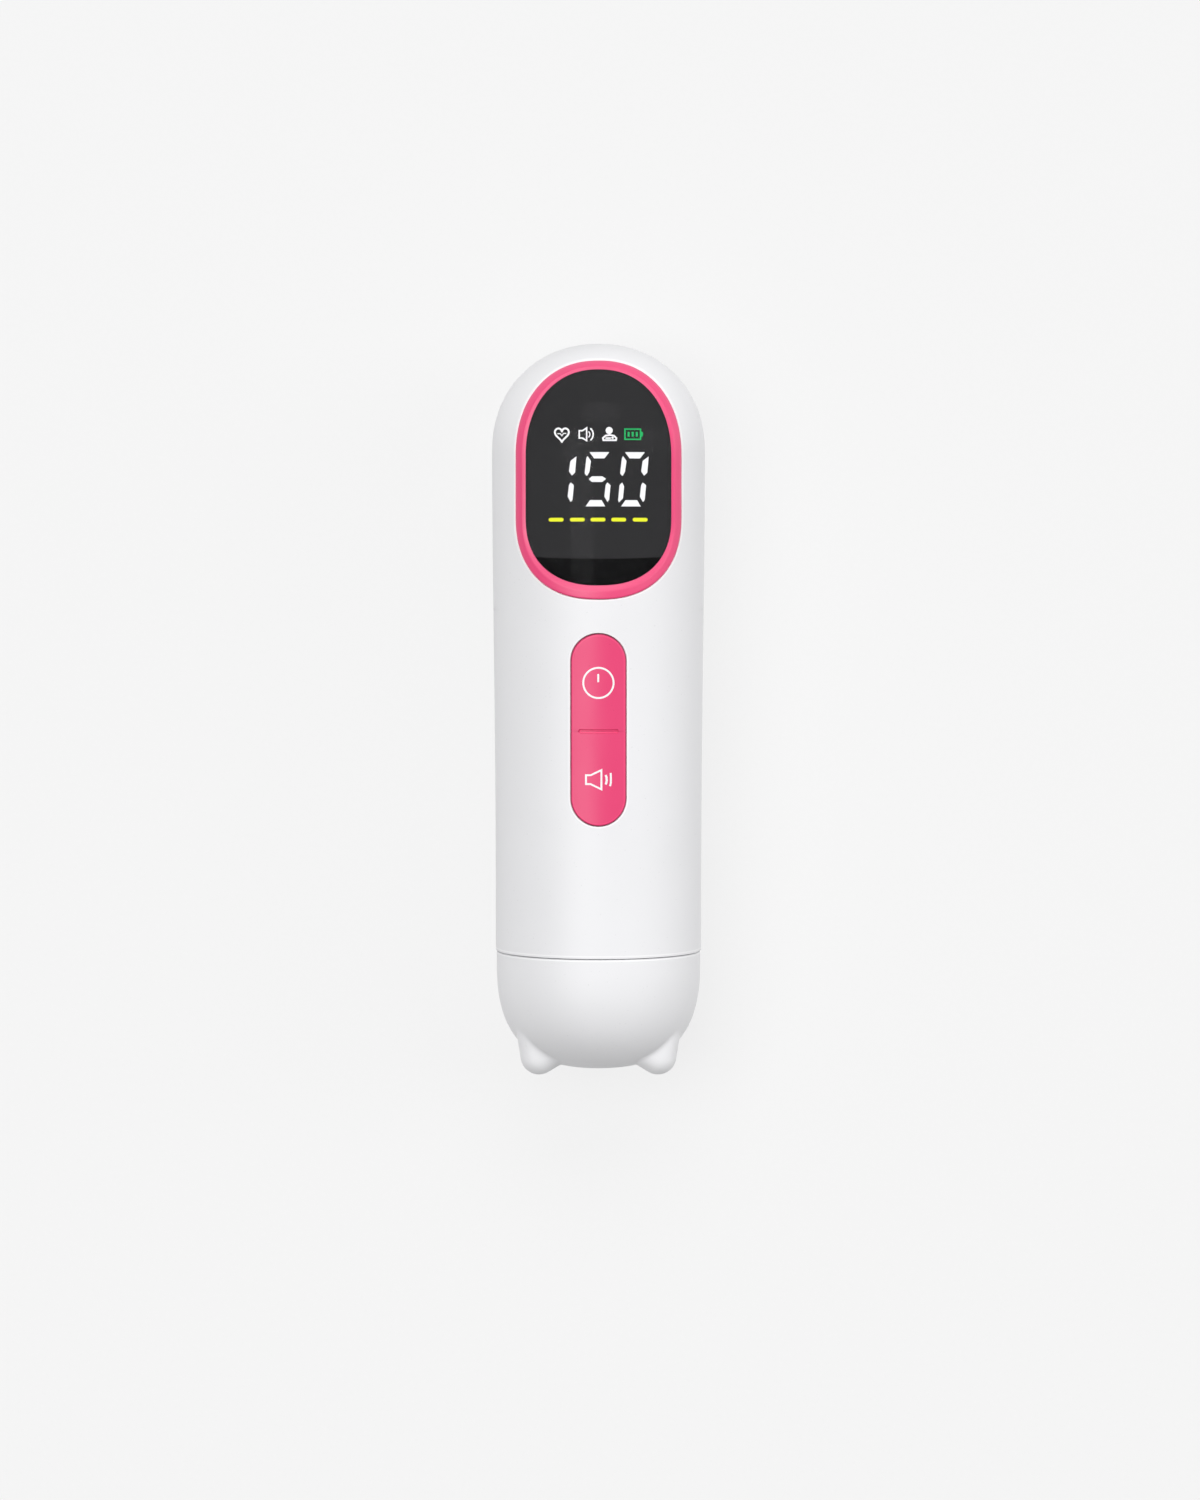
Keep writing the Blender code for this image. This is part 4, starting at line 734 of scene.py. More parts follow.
def outline_share(tree, x, along, width, reach, power):
    """How far out a place is on a superellipse's scale, 1 on the outline itself."""
    across = math_node(tree, "POWER", math_node(tree, "DIVIDE", x, width), power)
    rise = math_node(tree, "DIVIDE", math_node(tree, "MAXIMUM", along, 0), reach)
    total = math_node(tree, "ADD", across, math_node(tree, "POWER", rise, power))
    return math_node(tree, "POWER", total, 1 / power)


def apart(tree, first, second):
    """How far apart two values are."""
    return math_node(tree, "ABSOLUTE", math_node(tree, "SUBTRACT", first, second))


def off_strip(tree, x, y):
    """How far a place is outside the key strip's outline."""
    keys = settings().keys
    middle = SEAM + keys.high - keys.length / 2
    straight = keys.length / 2 - keys.half_width
    end = math_node(tree, "SUBTRACT", apart(tree, y, middle), straight)
    end = math_node(tree, "MAXIMUM", end, 0)
    square = math_node(tree, "ADD", math_node(tree, "POWER", x, 2),
                       math_node(tree, "POWER", end, 2))
    return math_node(tree, "SUBTRACT", math_node(tree, "SQRT", square), keys.half_width)


# Painted shade and highlight lines along edges: where the middle of each line lies and half its
# width
STRIP_PAINTED_SHADE = (0, 0.2 * MM)
STRIP_PAINTED_HIGHLIGHT = (-0.46 * MM, 0.1 * MM)
SEAM_PAINTED_HIGHLIGHT = (0.52 * MM, 0.12 * MM)
# How far from an opening its painted highlight has faded out, and how far it is still full
OPENING_PAINTED_HIGHLIGHT = (0.40 * MM, 0.20 * MM)


def line_mask(tree, off, at, half):
    """A soft line where a distance has a value."""
    return ranged(tree, apart(tree, off, at), start=half * 1.4, finish=half * 0.6)


def strip_painted_shade_and_highlight(tree, place, tone, base):
    """The keys' colour with a painted shade line at their edge and a painted highlight line inside
    it.
    """
    parts = axes(tree, place)
    off = off_strip(tree, math_node(tree, "ABSOLUTE", parts["X"]), parts["Y"])
    # Painted highlight: a paler line just inside the keys' edge
    tone = mixed(tree, line_mask(tree, off, *STRIP_PAINTED_HIGHLIGHT), tone, shaded(base, 1.12))
    # Painted shade: a darker line along the keys' edge
    return mixed(tree, line_mask(tree, off, *STRIP_PAINTED_SHADE), tone, shaded(base, 0.5))


def shell_painted_highlights(tree, place, tone, base):
    """The shells' colour with painted highlights: paler rims at their openings and beside the
    seam.
    """
    ring, keys = settings().ring, settings().keys
    parts = axes(tree, place)
    x, y = math_node(tree, "ABSOLUTE", parts["X"]), parts["Y"]
    off_keys = math_node(tree, "SUBTRACT", off_strip(tree, x, y), keys.gap)
    high = SEAM + shoulder()
    width = ring.half_width + ring.gap
    upper = outline_share(tree, x, math_node(tree, "SUBTRACT", y, high), width,
                          ring.rise + ring.gap, ring.top_power)
    lower = outline_share(tree, x, math_node(tree, "SUBTRACT", high - ring.straight, y), width,
                          ring.fall + ring.gap, ring.bottom_power)
    off_ring = math_node(tree, "SUBTRACT", math_node(tree, "MAXIMUM", upper, lower), 1)
    off_ring = math_node(tree, "MULTIPLY", off_ring, width)
    behind = math_node(tree, "LESS_THAN", parts["Z"], AXIS)
    off = math_node(tree, "ADD", math_node(tree, "MINIMUM", off_keys, off_ring), behind)
    # Painted highlight: the white turns paler near the ring and the keys, on the front half only
    near = ranged(tree, off, start=OPENING_PAINTED_HIGHLIGHT[0], finish=OPENING_PAINTED_HIGHLIGHT[1])
    # Painted highlight: a paler line on each side of the probe cap's seam
    seam_painted_highlight = line_mask(tree, apart(tree, y, SEAM), *SEAM_PAINTED_HIGHLIGHT)
    rim = math_node(tree, "MAXIMUM", near, seam_painted_highlight)
    return mixed(tree, rim, tone, tuple(settings().colours.rim))


def plastic(name, base, roughness, grain=0.08, variation=0.03, coat=0.0, gloss=0.5,
            painted_edge_lines=None):
    """Moulded plastic or rubber: fine grain, faint patches and specks."""
    tree, shader, place = new_material(name)
    marks = effect(tree, place, "moulding")
    patches = marks["Patches"]
    tone = mixed(tree, patches, shaded(base, 1 - variation), shaded(base, 1 + variation / 2))
    tone = mixed(tree, marks["Specks"], tone, shaded(base, 0.9))
    # Painted highlight and shade lines along edges, where a finish has them
    if painted_edge_lines:
        tone = painted_edge_lines(tree, place, tone, base)
    rough = ranged(tree, patches, roughness * 0.9, roughness * 1.12)
    finished(tree, shader, tone, rough, marks["Height"], grain, 0.02 * MM)
    shader.inputs["Specular IOR Level"].default_value = gloss
    shader.inputs["Coat Weight"].default_value = coat
    shader.inputs["Coat Roughness"].default_value = 0.06


def metal(name, base, roughness):
    """Plated or rolled metal with streaks and faint stains."""
    tree, shader, place = new_material(name)
    marks = effect(tree, place, "brushing")
    streaks = marks["Streaks"]
    tone = mixed(tree, marks["Stains"], shaded(base, 0.85), shaded(base, 1.05))
    rough = ranged(tree, streaks, roughness * 0.75, roughness * 1.3)
    finished(tree, shader, tone, rough, streaks, 0.1, 0.01 * MM)
    shader.inputs["Metallic"].default_value = 1.0


def board(name, base):
    """Solder mask over copper tracks and pads."""
    tree, shader, place = new_material(name)
    marks = effect(tree, place, "tracks")
    copper = marks["Tracks"]
    tone = mixed(tree, copper, base, shaded(base, 1.8))
    tone = mixed(tree, marks["Pads"], tone, (0.70, 0.55, 0.25))
    finished(tree, shader, tone, ranged(tree, copper, 0.45, 0.3), copper, 0.2, 0.03 * MM)


def fine_mesh(name, base):
    """Acoustic mesh: dark threads with darker openings."""
    tree, shader, place = new_material(name)
    marks = effect(tree, place, "fine_mesh")
    tone = mixed(tree, marks["Open"], base, shaded(base, 0.1))
    finished(tree, shader, tone, 0.6, marks["Height"], 0.6, 0.05 * MM)


def smoked_window(name, tint):
    """Smoked plastic with an antiglare finish and faint smears in its gloss."""
    tree, shader, place = new_material(name)
    smear = noise_node(tree, place, 120.0, 3.0, 0.6)
    tree.links.new(ranged(tree, smear, 0.02, 0.05), shader.inputs["Roughness"])
    shader.inputs["Base Color"].default_value = (*tint, 1)
    shader.inputs["Transmission Weight"].default_value = 1.0
    shader.inputs["IOR"].default_value = 1.06


def lit(name, base, strength):
    """A lit part of the display, a little uneven."""
    tree, shader, place = new_material(name)
    glow = noise_node(tree, place, 500.0, 1.0, 0.5)
    tone = mixed(tree, glow, shaded(base, 0.94), base)
    tree.links.new(tone, shader.inputs["Emission Color"])
    shader.inputs["Emission Strength"].default_value = strength
    shader.inputs["Base Color"].default_value = (*shaded(base, 0.6), 1)
    shader.inputs["Roughness"].default_value = 0.5


def display_face(name, glow, edge):
    """The display's backing, with a faint glow above an edge and hardly any below it."""
    tree, shader, place = new_material(name)
    marks = effect(tree, place, "moulding")
    below = math_node(tree, "LESS_THAN", axes(tree, place)["Y"], edge)
    tone = mixed(tree, marks["Patches"], shaded(glow, 0.97), shaded(glow, 1.03))
    tree.links.new(mixed(tree, below, tone, shaded(glow, 0.15)),
                   shader.inputs["Emission Color"])
    shader.inputs["Emission Strength"].default_value = 1.0
    shader.inputs["Base Color"].default_value = (0.012, 0.012, 0.0125, 1)
    shader.inputs["Specular IOR Level"].default_value = 0.1
    shader.inputs["Roughness"].default_value = 0.7
    bumped(tree, shader, marks["Height"], 0.05, 0.01 * MM)


def finishes():
    """Every finish by name, made once."""
    if "white_plastic" in bpy.data.materials:
        return bpy.data.materials
    tones = settings().colours
    plastic("white_plastic", tuple(tones.white), 0.5, painted_edge_lines=shell_painted_highlights)
    plastic("pink_plastic", tuple(tones.pink), 0.38, variation=0.02, gloss=0.38,
            painted_edge_lines=strip_painted_shade_and_highlight)
    plastic("ring_plastic", tuple(tones.ring), 0.4, variation=0.02, gloss=0.6)
    plastic("printed_white", tuple(tones.mark), 0.45, variation=0.01)
    plastic("black_plastic", (0.028, 0.028, 0.030), 0.5, grain=0.25)
    plastic("grey_plastic", (0.33, 0.33, 0.34), 0.5, grain=0.25)
    plastic("probe_plastic", (0.68, 0.68, 0.70), 0.4)
    plastic("probe_silicone", (0.60, 0.61, 0.64), 0.55, grain=0.15)
    plastic("connector_nylon", (0.72, 0.66, 0.52), 0.5, grain=0.15)
    plastic("diffuser_white", (0.85, 0.86, 0.88), 0.45)
    plastic("black_rubber", (0.022, 0.022, 0.024), 0.65, grain=0.3)
    plastic("grey_rubber", (0.30, 0.30, 0.32), 0.65, grain=0.3)
    plastic("red_insulation", (0.55, 0.035, 0.03), 0.5)
    plastic("amber_film", (0.50, 0.24, 0.05), 0.35)
    plastic("cell_sleeve", (0.04, 0.12, 0.38), 0.3, coat=0.4)
    plastic("panel_glass", (0.10, 0.10, 0.11), 0.08, grain=0.02, coat=0.5)
    metal("plated_steel", (0.62, 0.62, 0.64), 0.28)
    metal("gold_film", (0.85, 0.62, 0.25), 0.25)
    board("circuit_board", (0.02, 0.16, 0.07))
    fine_mesh("acoustic_mesh", (0.03, 0.03, 0.032))
    smoked_window("window_plastic", tuple(tones.window))
    lit("lit_white", tuple(tones.digit), 1.55)
    lit("lit_level", tuple(tones.level), 1.8)
    lit("lit_charge", tuple(tones.charge), 1.6)
    edge = SEAM + settings().body.length - settings().ring.glow
    display_face("display_face", tuple(tones.display), edge)
    return bpy.data.materials


# Pieces


def on_surface(point):
    """Whether a point lies on the body's outside."""
    return abs(math.hypot(point.x, point.z) - body_radius(point.y)) < ON_SKIN


def true_normals(mesh):
    """Smooths a shell, and gives its outer faces the normals of the body's exact shape."""
    body = settings().body
    smoothed(mesh, 35)
    tip = body.length - body.crown * 0.03
    side_on = 0.3
    step = 0.02 * MM
    normals = [normal.vector.copy() for normal in mesh.corner_normals]
    for face in mesh.polygons:
        points = [mesh.vertices[index].co for index in face.vertices]
        if not all(on_surface(point) and point.y < tip for point in points):
            continue
        radial = Vector((face.center.x, 0, face.center.z)).normalized()
        if face.normal.dot(radial) < side_on and face.center.y < shoulder():
            continue
        for corner, point in zip(face.loop_indices, points):
            rise = (body_radius(point.y - step) - body_radius(point.y + step)) / step / 2
            radial = Vector((point.x, 0, point.z)).normalized()
            normals[corner] = (radial + Vector((0, rise, 0))).normalized()
    mesh.normals_split_custom_set(normals)


def round_shell(shape):
    """Rounds a shell's edges along its parting and at the probe cap's seam."""
    body = settings().body

    def outside(point):
        return on_surface(point) or abs(point.z + body.flat) < ON_SKIN

    at_parting, at_seam = 0.2 * MM, 0.05 * MM
    parting = sharp_edges(shape, lambda p: outside(p) and abs(p.z) < at_parting)
    rounded(shape, parting, body.parting_edge, 2)
    seam = sharp_edges(shape, lambda p: outside(p) and p.y < at_seam)
    rounded(shape, seam, body.seam_edge, 4)


def shell_piece(mesh, name):
    """Adds a shell's mesh as the piece that stands for it."""
    true_normals(mesh)
    mesh.transform(TO_PLACE)
    piece(f"{name}_form", mesh, "wand", "white_plastic", [name])


class DOPPLER_OT_front_shell(bpy.types.Operator):
    """Builds the display half of the body with its rounded openings"""

    bl_idname = "doppler.front_shell"
    bl_label = "Front Shell"

    def execute(self, context):
        body, ring, keys = settings().body, settings().ring, settings().keys
        shares = [math.sin(turn) for turn in quarter_turns(26)]
        chains = ((ring_chain(-ring.gap), body_chain()), (key_chain(keys.gap), skirt_chain()))
        shape = bmesh.new()
        for start, finish in chains:
            loft(shape, [on_front(between(start, finish, share)) for share in shares])
        mirrored(shape)
        facing(shape, (0, 0, 1))
        bmesh.ops.solidify(shape, geom=shape.faces[:], thickness=body.wall)
        round_shell(shape)
        foot, front, tip = 20 * MM, 5 * MM, body.length - 2 * MM
        across = ring.half_width + 1 * MM
        holes = sharp_edges(shape, lambda p: (
            on_surface(p) and foot < p.y < tip and abs(p.x) < across and p.z > front))
        rounded(shape, holes, body.hole_edge, 3)
        shell_piece(raw_mesh(shape, "front_shell_form"), "front_shell")
        return {"FINISHED"}


class DOPPLER_OT_display_ring(bpy.types.Operator):
    """Builds the pink ring round the display window"""

    bl_idname = "doppler.display_ring"
    bl_label = "Display Ring"

    def execute(self, context):
        ring = settings().ring
        rows = [on_front(ring_chain(0), -ring.wall)]
        for inset, height in edge_heights(ring.proud, ring.outer_edge, 6):
            rows.append(on_front(ring_chain(inset), height))
        start, finish = ring_chain(ring.outer_edge), window_chain(0)
        fall = ring.proud + ring.window_sink - ring.lip_above_window
        count, power = 14, 1.15
        for step in range(1, count + 1):
            share = step / count
            slope = max(share - ring.crown_share, 0) / (1 - ring.crown_share)
            rows.append(on_front(between(start, finish, share), ring.proud - fall * slope**power))
        rows.append(on_front(finish, -ring.wall))
        shape = bmesh.new()
        loft(shape, rows + rows[:1])
        mirrored(shape)
        add("display_ring", shape, "wand", "ring_plastic", ["display_bezel"])
        return {"FINISHED"}


def plate(chain_at, spine, foot, heights, count, relief=lambda x, y: 0):
    """A closed plate on the body's curve: flat foot, rounded edge, and top in to its spine."""
    edge, top = heights[-1]
    band = 0.03 * MM
    start, outline = chain_at(edge + band), chain_at(0)
    rows = [
        on_front(between(outline, spine, step / count), foot) for step in range(count, -1, -1)
    ]
    rows += [on_front(chain_at(inset), height) for inset, height in heights]
    for step in range(count + 1):
        chain = between(start, spine, step / count)
        rows.append([on_body(x, y, top - relief(x, y)) for x, y in chain])
    shape = bmesh.new()
    loft(shape, rows)
    mirrored(shape)
    return shape


def spine_of(chain, share):
    """A line up the middle that a closed outline shrinks onto."""
    low, high = chain[-1][1], chain[0][1]
    middle = (low + high) / 2
    return [(0, middle + (y - middle) * share) for _, y in chain]


def edge_heights(top, edge, steps):
    """Insets and heights round a plate's edge, from its side up to its top."""
    return [
        (edge * (1 - math.cos(turn)), top - edge * (1 - math.sin(turn)))
        for turn in quarter_turns(steps)
    ]


class DOPPLER_OT_display(bpy.types.Operator):
    """Builds the smoked window and the display backing under it"""

    bl_idname = "doppler.display"
    bl_label = "Display Window"

    def execute(self, context):
        ring = settings().ring

        def outline(inset):
            return window_chain(ring.window_gap + inset)

        spine = spine_of(outline(0), 0.72)
        sink = -ring.window_sink
        rim = edge_heights(sink, ring.window_edge, 2)
        shape = plate(outline, spine, sink - ring.window_wall, rim, 20)
        add("display_window", shape, "wand", "window_plastic", ["display_lens"])
        sink = -ring.backing_sink
        shape = plate(outline, spine, sink - ring.backing_wall, [(0, sink)], 20)
        add("display_backing", shape, "wand", "display_face",
            ["display_mask"])
        return {"FINISHED"}


def divider_place():
    """How far the divider between the keys is from the seam."""
    return settings().keys.high - settings().keys.divider


def key_reach(side):
    """From the divider to the middle of one key's round end."""
    keys = settings().keys
    whole = keys.divider if side > 0 else keys.length - keys.divider
    return whole - keys.half_width


def key_chain_half(grow, side):
    """The right half of one key's outline, from its end to the divider."""
    keys = settings().keys
    half = keys.half_width + grow
    top, fine, start = key_reach(side), keys.groove_width, keys.parting / 2
    far, near = 16, 12
    chain = round_end(half, top, 26)
    chain += [(half, top + (fine - top) * step / far) for step in range(1, far + 1)]
    chain += [(half, fine + (start - fine) * step / near) for step in range(1, near + 1)]
    return [(x, divider_place() + side * y) for x, y in chain]


def groove(x, y):
    """How deep the divider groove is at a place on the keys."""
    keys = settings().keys
    half = keys.groove_width / 2
    reach = keys.groove_length / 2 - half
    off = math.hypot(max(abs(x) - reach, 0), y - divider_place()) / half
    if off >= 1:
        return 0
    return keys.groove_depth * (1 - off**6) ** 0.5


class DOPPLER_OT_keys(bpy.types.Operator):
    """Builds the two halves of the key strip"""

    bl_idname = "doppler.keys"
    bl_label = "Key Strip"

    def execute(self, context):
        keys = settings().keys
        middle = divider_place()
        rim = edge_heights(keys.proud, keys.edge, 6)
        for name, side in (("power_key", 1), ("volume_key", -1)):
            top = key_reach(side)
            spine = []
            for _, y in key_chain_half(0, side):
                reach = abs(y - middle)
                if reach > top:
                    reach = (top + reach) / 2
                spine.append((0, middle + side * reach))
            shape = plate(lambda inset: key_chain_half(-inset, side), spine, -keys.wall, rim,
                          28, groove)
            add(f"{name}_form", shape, name, "pink_plastic", [name])
        return {"FINISHED"}


# Printed and lit marks


def stroke(shape, points, width, closed=False):
    """A flat line of one width along points."""
    count = len(points)
    sides = ([], [])
    for number, point in enumerate(points):
        here = Vector(point)
        before = Vector(points[number - 1]) if number or closed else None
        after = Vector(points[(number + 1) % count]) if number < count - 1 or closed else None
        first = (here - before).normalized() if before is not None else None
        second = (after - here).normalized() if after is not None else None
        first = first or second
        second = second or first
        normal = Vector((-(first.y + second.y), first.x + second.x)).normalized()
        square = Vector((-first.y, first.x))
        reach = width / 2 / max(normal.dot(square), 0.35)
        for verts, sign in zip(sides, (1, -1)):
            place = here + normal * reach * sign
            verts.append(shape.verts.new((place.x, place.y, 0)))
    edges = []
    for verts in sides:
        pairs = list(zip(verts, verts[1:]))
        if closed:
            pairs.append((verts[-1], verts[0]))
        edges += [shape.edges.new(pair) for pair in pairs]
    bmesh.ops.bridge_loops(shape, edges=edges)


def filled(shape, points):
    """A flat outline with a face."""
    verts = [shape.verts.new((x, y, 0)) for x, y in points]
    bmesh.ops.contextual_create(shape, geom=verts)


def arc(centre, radius, start, end, count):
    """Points along a circle's arc, in degrees."""
    turns = [math.radians(start + (end - start) * step / count) for step in range(count + 1)]
    return [
        (centre[0] + radius * math.cos(turn), centre[1] + radius * math.sin(turn))
        for turn in turns
    ]


def placed(points, x, y):
    """Points in millimetres moved to a place."""
    return [(x + across * MM, y + along * MM) for across, along in points]


def bar(low, high, middle, height):
    """The outline of a bar with round ends."""
    radius = height / 2
    left = arc((low + radius, middle), radius, 90, 270, 8)
    return left + arc((high - radius, middle), radius, -90, 90, 8)


# Longest face of a mark, how far marks lie above their ground, and their thickness
MARK_STEP = 0.8 * MM
PRINT_LIFT, PRINT_DEPTH = 0.015 * MM, 0.05 * MM
LIT_LIFT, LIT_DEPTH = 0.03 * MM, 0.04 * MM
# Across from the axis, where levelled rows keep their height
LEVEL_AT = 6.0 * MM
# Height of each key's mark above the seam, and the weight of the power mark's line
POWER_AT, VOLUME_AT = 59.8 * MM, 38.86 * MM
PRINT_LINE = 0.40 * MM


def laid(shape, offset, thickness, lean=0.0):
    """Cuts flat marks into small faces, lays them on the body's curve and thickens them.

    With a lean, rows across the body look level in the camera's leaning view.
    """
    for axis in (0, 1):
        places = [vert.co[axis] for vert in shape.verts]
        low, high = min(places), max(places)
        count = int((high - low) / MARK_STEP)
        for number in range(1, count + 1):
            place, normal = Vector(), Vector()
            place[axis] = low + (high - low) * number / (count + 1)
            normal[axis] = 1
            bmesh.ops.bisect_plane(shape, geom=everything(shape), plane_co=place,
                                   plane_no=normal, dist=ON_PLANE)
    for vert in shape.verts:
        x, y = vert.co.x, vert.co.y
        vert.co = on_body(x, y, offset)
        vert.co.y += lean * (vert.co.z - on_body(LEVEL_AT, y, offset).z)
    bmesh.ops.recalc_face_normals(shape, faces=shape.faces)
    shape.normal_update()
    for face in shape.faces:
        if face.normal.z < 0:
            face.normal_flip()
    bmesh.ops.solidify(shape, geom=shape.faces[:], thickness=thickness)


class DOPPLER_OT_key_marks(bpy.types.Operator):
    """Prints the power and volume marks on the keys"""

    bl_idname = "doppler.key_marks"
    bl_label = "Key Marks"

    def execute(self, context):
        shape = bmesh.new()
        circle = arc((-0.02 * MM, POWER_AT), 3.27 * MM, 0, 352.5, 47)
        stroke(shape, circle, PRINT_LINE, closed=True)
        upright = bar(POWER_AT + 0.12 * MM, POWER_AT + 1.97 * MM, 0, PRINT_LINE)
        filled(shape, [(x - 0.06 * MM, y) for y, x in upright])
        self.finish(shape, "power_mark", "power_key")

        shape = bmesh.new()
        horn = [(-2.70, 0.96), (-1.70, 0.96), (0.62, 2.08), (0.62, -2.08), (-1.70, -0.96),
                (-2.70, -0.96)]
        near = [(1.54, 1.02), (1.72, 0.52), (1.77, -0.13), (1.69, -0.65), (1.51, -1.03)]
        far = [(2.62, 1.45), (2.66, 0.52), (2.66, -0.52), (2.59, -1.03), (2.44, -1.40)]
        for points, width, closed in ((horn, 0.40, True), (near, 0.46, False), (far, 0.42, False)):
            stroke(shape, placed(points, 0, VOLUME_AT), width * MM, closed)
        self.finish(shape, "volume_mark", "volume_key")
        return {"FINISHED"}

    def finish(self, shape, name, body):
        """Lays one key's print on it."""
        laid(shape, settings().keys.proud + PRINT_LIFT, PRINT_DEPTH)
        add(name, shape, body, "printed_white")


# A digit's segments, in units of its height's 213th part
SEGMENTS = {
    "top": [(11, 213), (90, 213), (73, 187), (32, 187)],
    "bottom": [(31, 26), (77, 26), (94, 0), (16, 0)],
    "upper_left": [(6, 198), (22, 178), (20, 135), (11, 118), (0, 129), (1, 189)],
    "lower_left": [(12, 95), (22, 79), (22, 32), (7, 15), (2, 24), (2, 84)],
    "upper_right": [(106, 197), (107, 132), (95, 120), (81, 137), (83, 179)],
    "lower_right": [(92, 95), (107, 84), (107, 26), (100, 17), (85, 39), (86, 84)],
    "middle": [(18, 107), (30, 119), (71, 119), (87, 108), (73, 95), (32, 95)],
}
DIGIT_UNIT = 0.0553 * MM
DIGIT_TRIM = 0.06 * MM
DIGIT_SLANT = 0.094
DIGIT_FOOT = 97.8 * MM
DIGITS = [
    (-11.6 * MM, ("upper_right", "lower_right")),
    (-3.71 * MM, ("top", "upper_left", "middle", "lower_right", "bottom")),
    (3.93 * MM, ("top", "upper_left", "upper_right", "lower_left", "lower_right", "bottom")),
]
# Level bars: their middles and half their length in millimetres, their place and height
BARS = (-9.12, -4.56, -0.12, 4.34, 8.96)
BAR_HALF = 1.6
BAR_AT = 94.97 * MM
BAR_HEIGHT = 0.8 * MM


class DOPPLER_OT_display_marks(bpy.types.Operator):
    """Lights the digits, icons and bars of the display"""

    bl_idname = "doppler.display_marks"
    bl_label = "Display Marks"

    def execute(self, context):
        digits = bmesh.new()
        for left, segments in DIGITS:
            for segment in segments:
                filled(digits, [
                    (left + (u + DIGIT_SLANT * v) * DIGIT_UNIT, DIGIT_FOOT + v * DIGIT_UNIT)
                    for u, v in SEGMENTS[segment]
                ])
        rims = bmesh.ops.inset_individual(digits, faces=digits.faces[:], thickness=DIGIT_TRIM)
        bmesh.ops.delete(digits, geom=rims["faces"], context="FACES")
        self.finish(digits, "display_digits", "lit_white")

        bars = bmesh.new()
        for middle in BARS:
            low, high = (middle - BAR_HALF) * MM, (middle + BAR_HALF) * MM
            filled(bars, bar(low, high, BAR_AT, BAR_HEIGHT))
        self.finish(bars, "level_bars", "lit_level")

        self.heart()
        self.sound()
        self.child()
        self.charge()
        return {"FINISHED"}

    def finish(self, shape, name, look):
        """Lays lit marks on the display's backing."""
        lift = LIT_LIFT - settings().ring.backing_sink
        laid(shape, lift, LIT_DEPTH, -math.tan(VIEW_TILT))
        add(name, shape, "wand", look)

    def heart(self):
        """A heart's outline with a pulse line."""
        shape = bmesh.new()
        x, y = -7.88 * MM, 113.4 * MM
        count = 40
        outline = []
        for step in range(1, count):
            turn = math.tau * step / count
            across = 16 * math.sin(turn) ** 3
            rise = 13 * math.cos(turn) - 5 * math.cos(2 * turn) - 2 * math.cos(3 * turn)
            rise = max(rise - math.cos(4 * turn), -16.2)
            outline.append((across * 0.094, rise * 0.102))
        stroke(shape, placed(outline, x, y), 0.38 * MM, closed=True)
        pulse = [(-0.95, 0.1), (-0.35, 0.1), (0, -0.35), (0.35, 0.15), (0.95, 0.15)]
        stroke(shape, placed(pulse, x, y), 0.2 * MM)
        self.finish(shape, "heart_icon", "lit_white")

    def sound(self):
        """A loudspeaker with two sound waves."""
        shape = bmesh.new()
        left, middle = -4.15 * MM, 113.34 * MM
        horn = [(0, 0.78), (0.7, 0.78), (1.6, 1.35), (1.6, -1.35), (0.7, -0.78), (0, -0.78)]
        stroke(shape, placed(horn, left, middle), 0.3 * MM, closed=True)
        stroke(shape, arc((left + 1.55 * MM, middle), 0.75 * MM, 55, -55, 8), 0.22 * MM)
        stroke(shape, arc((left + 1.35 * MM, middle), 1.65 * MM, 50, -50, 12), 0.3 * MM)
        self.finish(shape, "sound_icon", "lit_white")

    def child(self):
        """A plain sign of a parent's head above a wrapped baby."""
        shape = bmesh.new()
        middle, low = 2.4 * MM, 111.8 * MM
        filled(shape, arc((middle - 0.1 * MM, low + 2.35 * MM), 0.75 * MM, 0, 345, 23))
        arms = [(-1.35, 0.3), (-1.45, 0.75), (-0.9, 1.25), (0, 1.4), (0.9, 1.25), (1.45, 0.75),
                (1.35, 0.3)]
        stroke(shape, placed(arms, middle, low), 0.36 * MM, closed=True)
        filled(shape, arc((middle + 0.62 * MM, low + 0.82 * MM), 0.26 * MM, 0, 330, 11))
        filled(shape, bar(middle - 0.95 * MM, middle + 0.3 * MM, low + 0.74 * MM, 0.3 * MM))
        self.finish(shape, "child_icon", "lit_white")

    def charge(self):
        """A battery with three bars."""
        shape = bmesh.new()
        left, low, wide, tall = 5.68 * MM, 112.3 * MM, 3.35, 2.15
        case = [(0, 0), (wide, 0), (wide, tall), (0, tall)]
        stroke(shape, placed(case, left, low), 0.28 * MM, closed=True)
        stud = [(wide + 0.16, 0.5), (wide + 0.5, 0.7), (wide + 0.5, tall - 0.7),
                (wide + 0.16, tall - 0.5)]
        filled(shape, placed(stud, left, low))
        for number in range(3):
            start = 0.58 + number * 0.88
            cell = [(start, 0.58), (start + 0.42, 0.58), (start + 0.42, tall - 0.58),
                    (start, tall - 0.58)]
            filled(shape, placed(cell, left, low))
        self.finish(shape, "charge_icon", "lit_charge")


# Rear shell and ports


def add_cutter(shape, x, y, outside, inside, radius, flare):
    """Adds a round cutter along Z, widened where it meets the surface."""
    outline = [(0, outside), (radius + flare * 3, outside), (radius + flare, outside + 2 * flare),
               (radius, outside + 3 * flare), (radius, inside), (0, inside)]
    mesh = raw_mesh(turned(outline, 28, "Z"), "cutter")
    mesh.transform(Matrix.Translation((x, y, 0)))
    shape.from_mesh(mesh)
    bpy.data.meshes.remove(mesh)


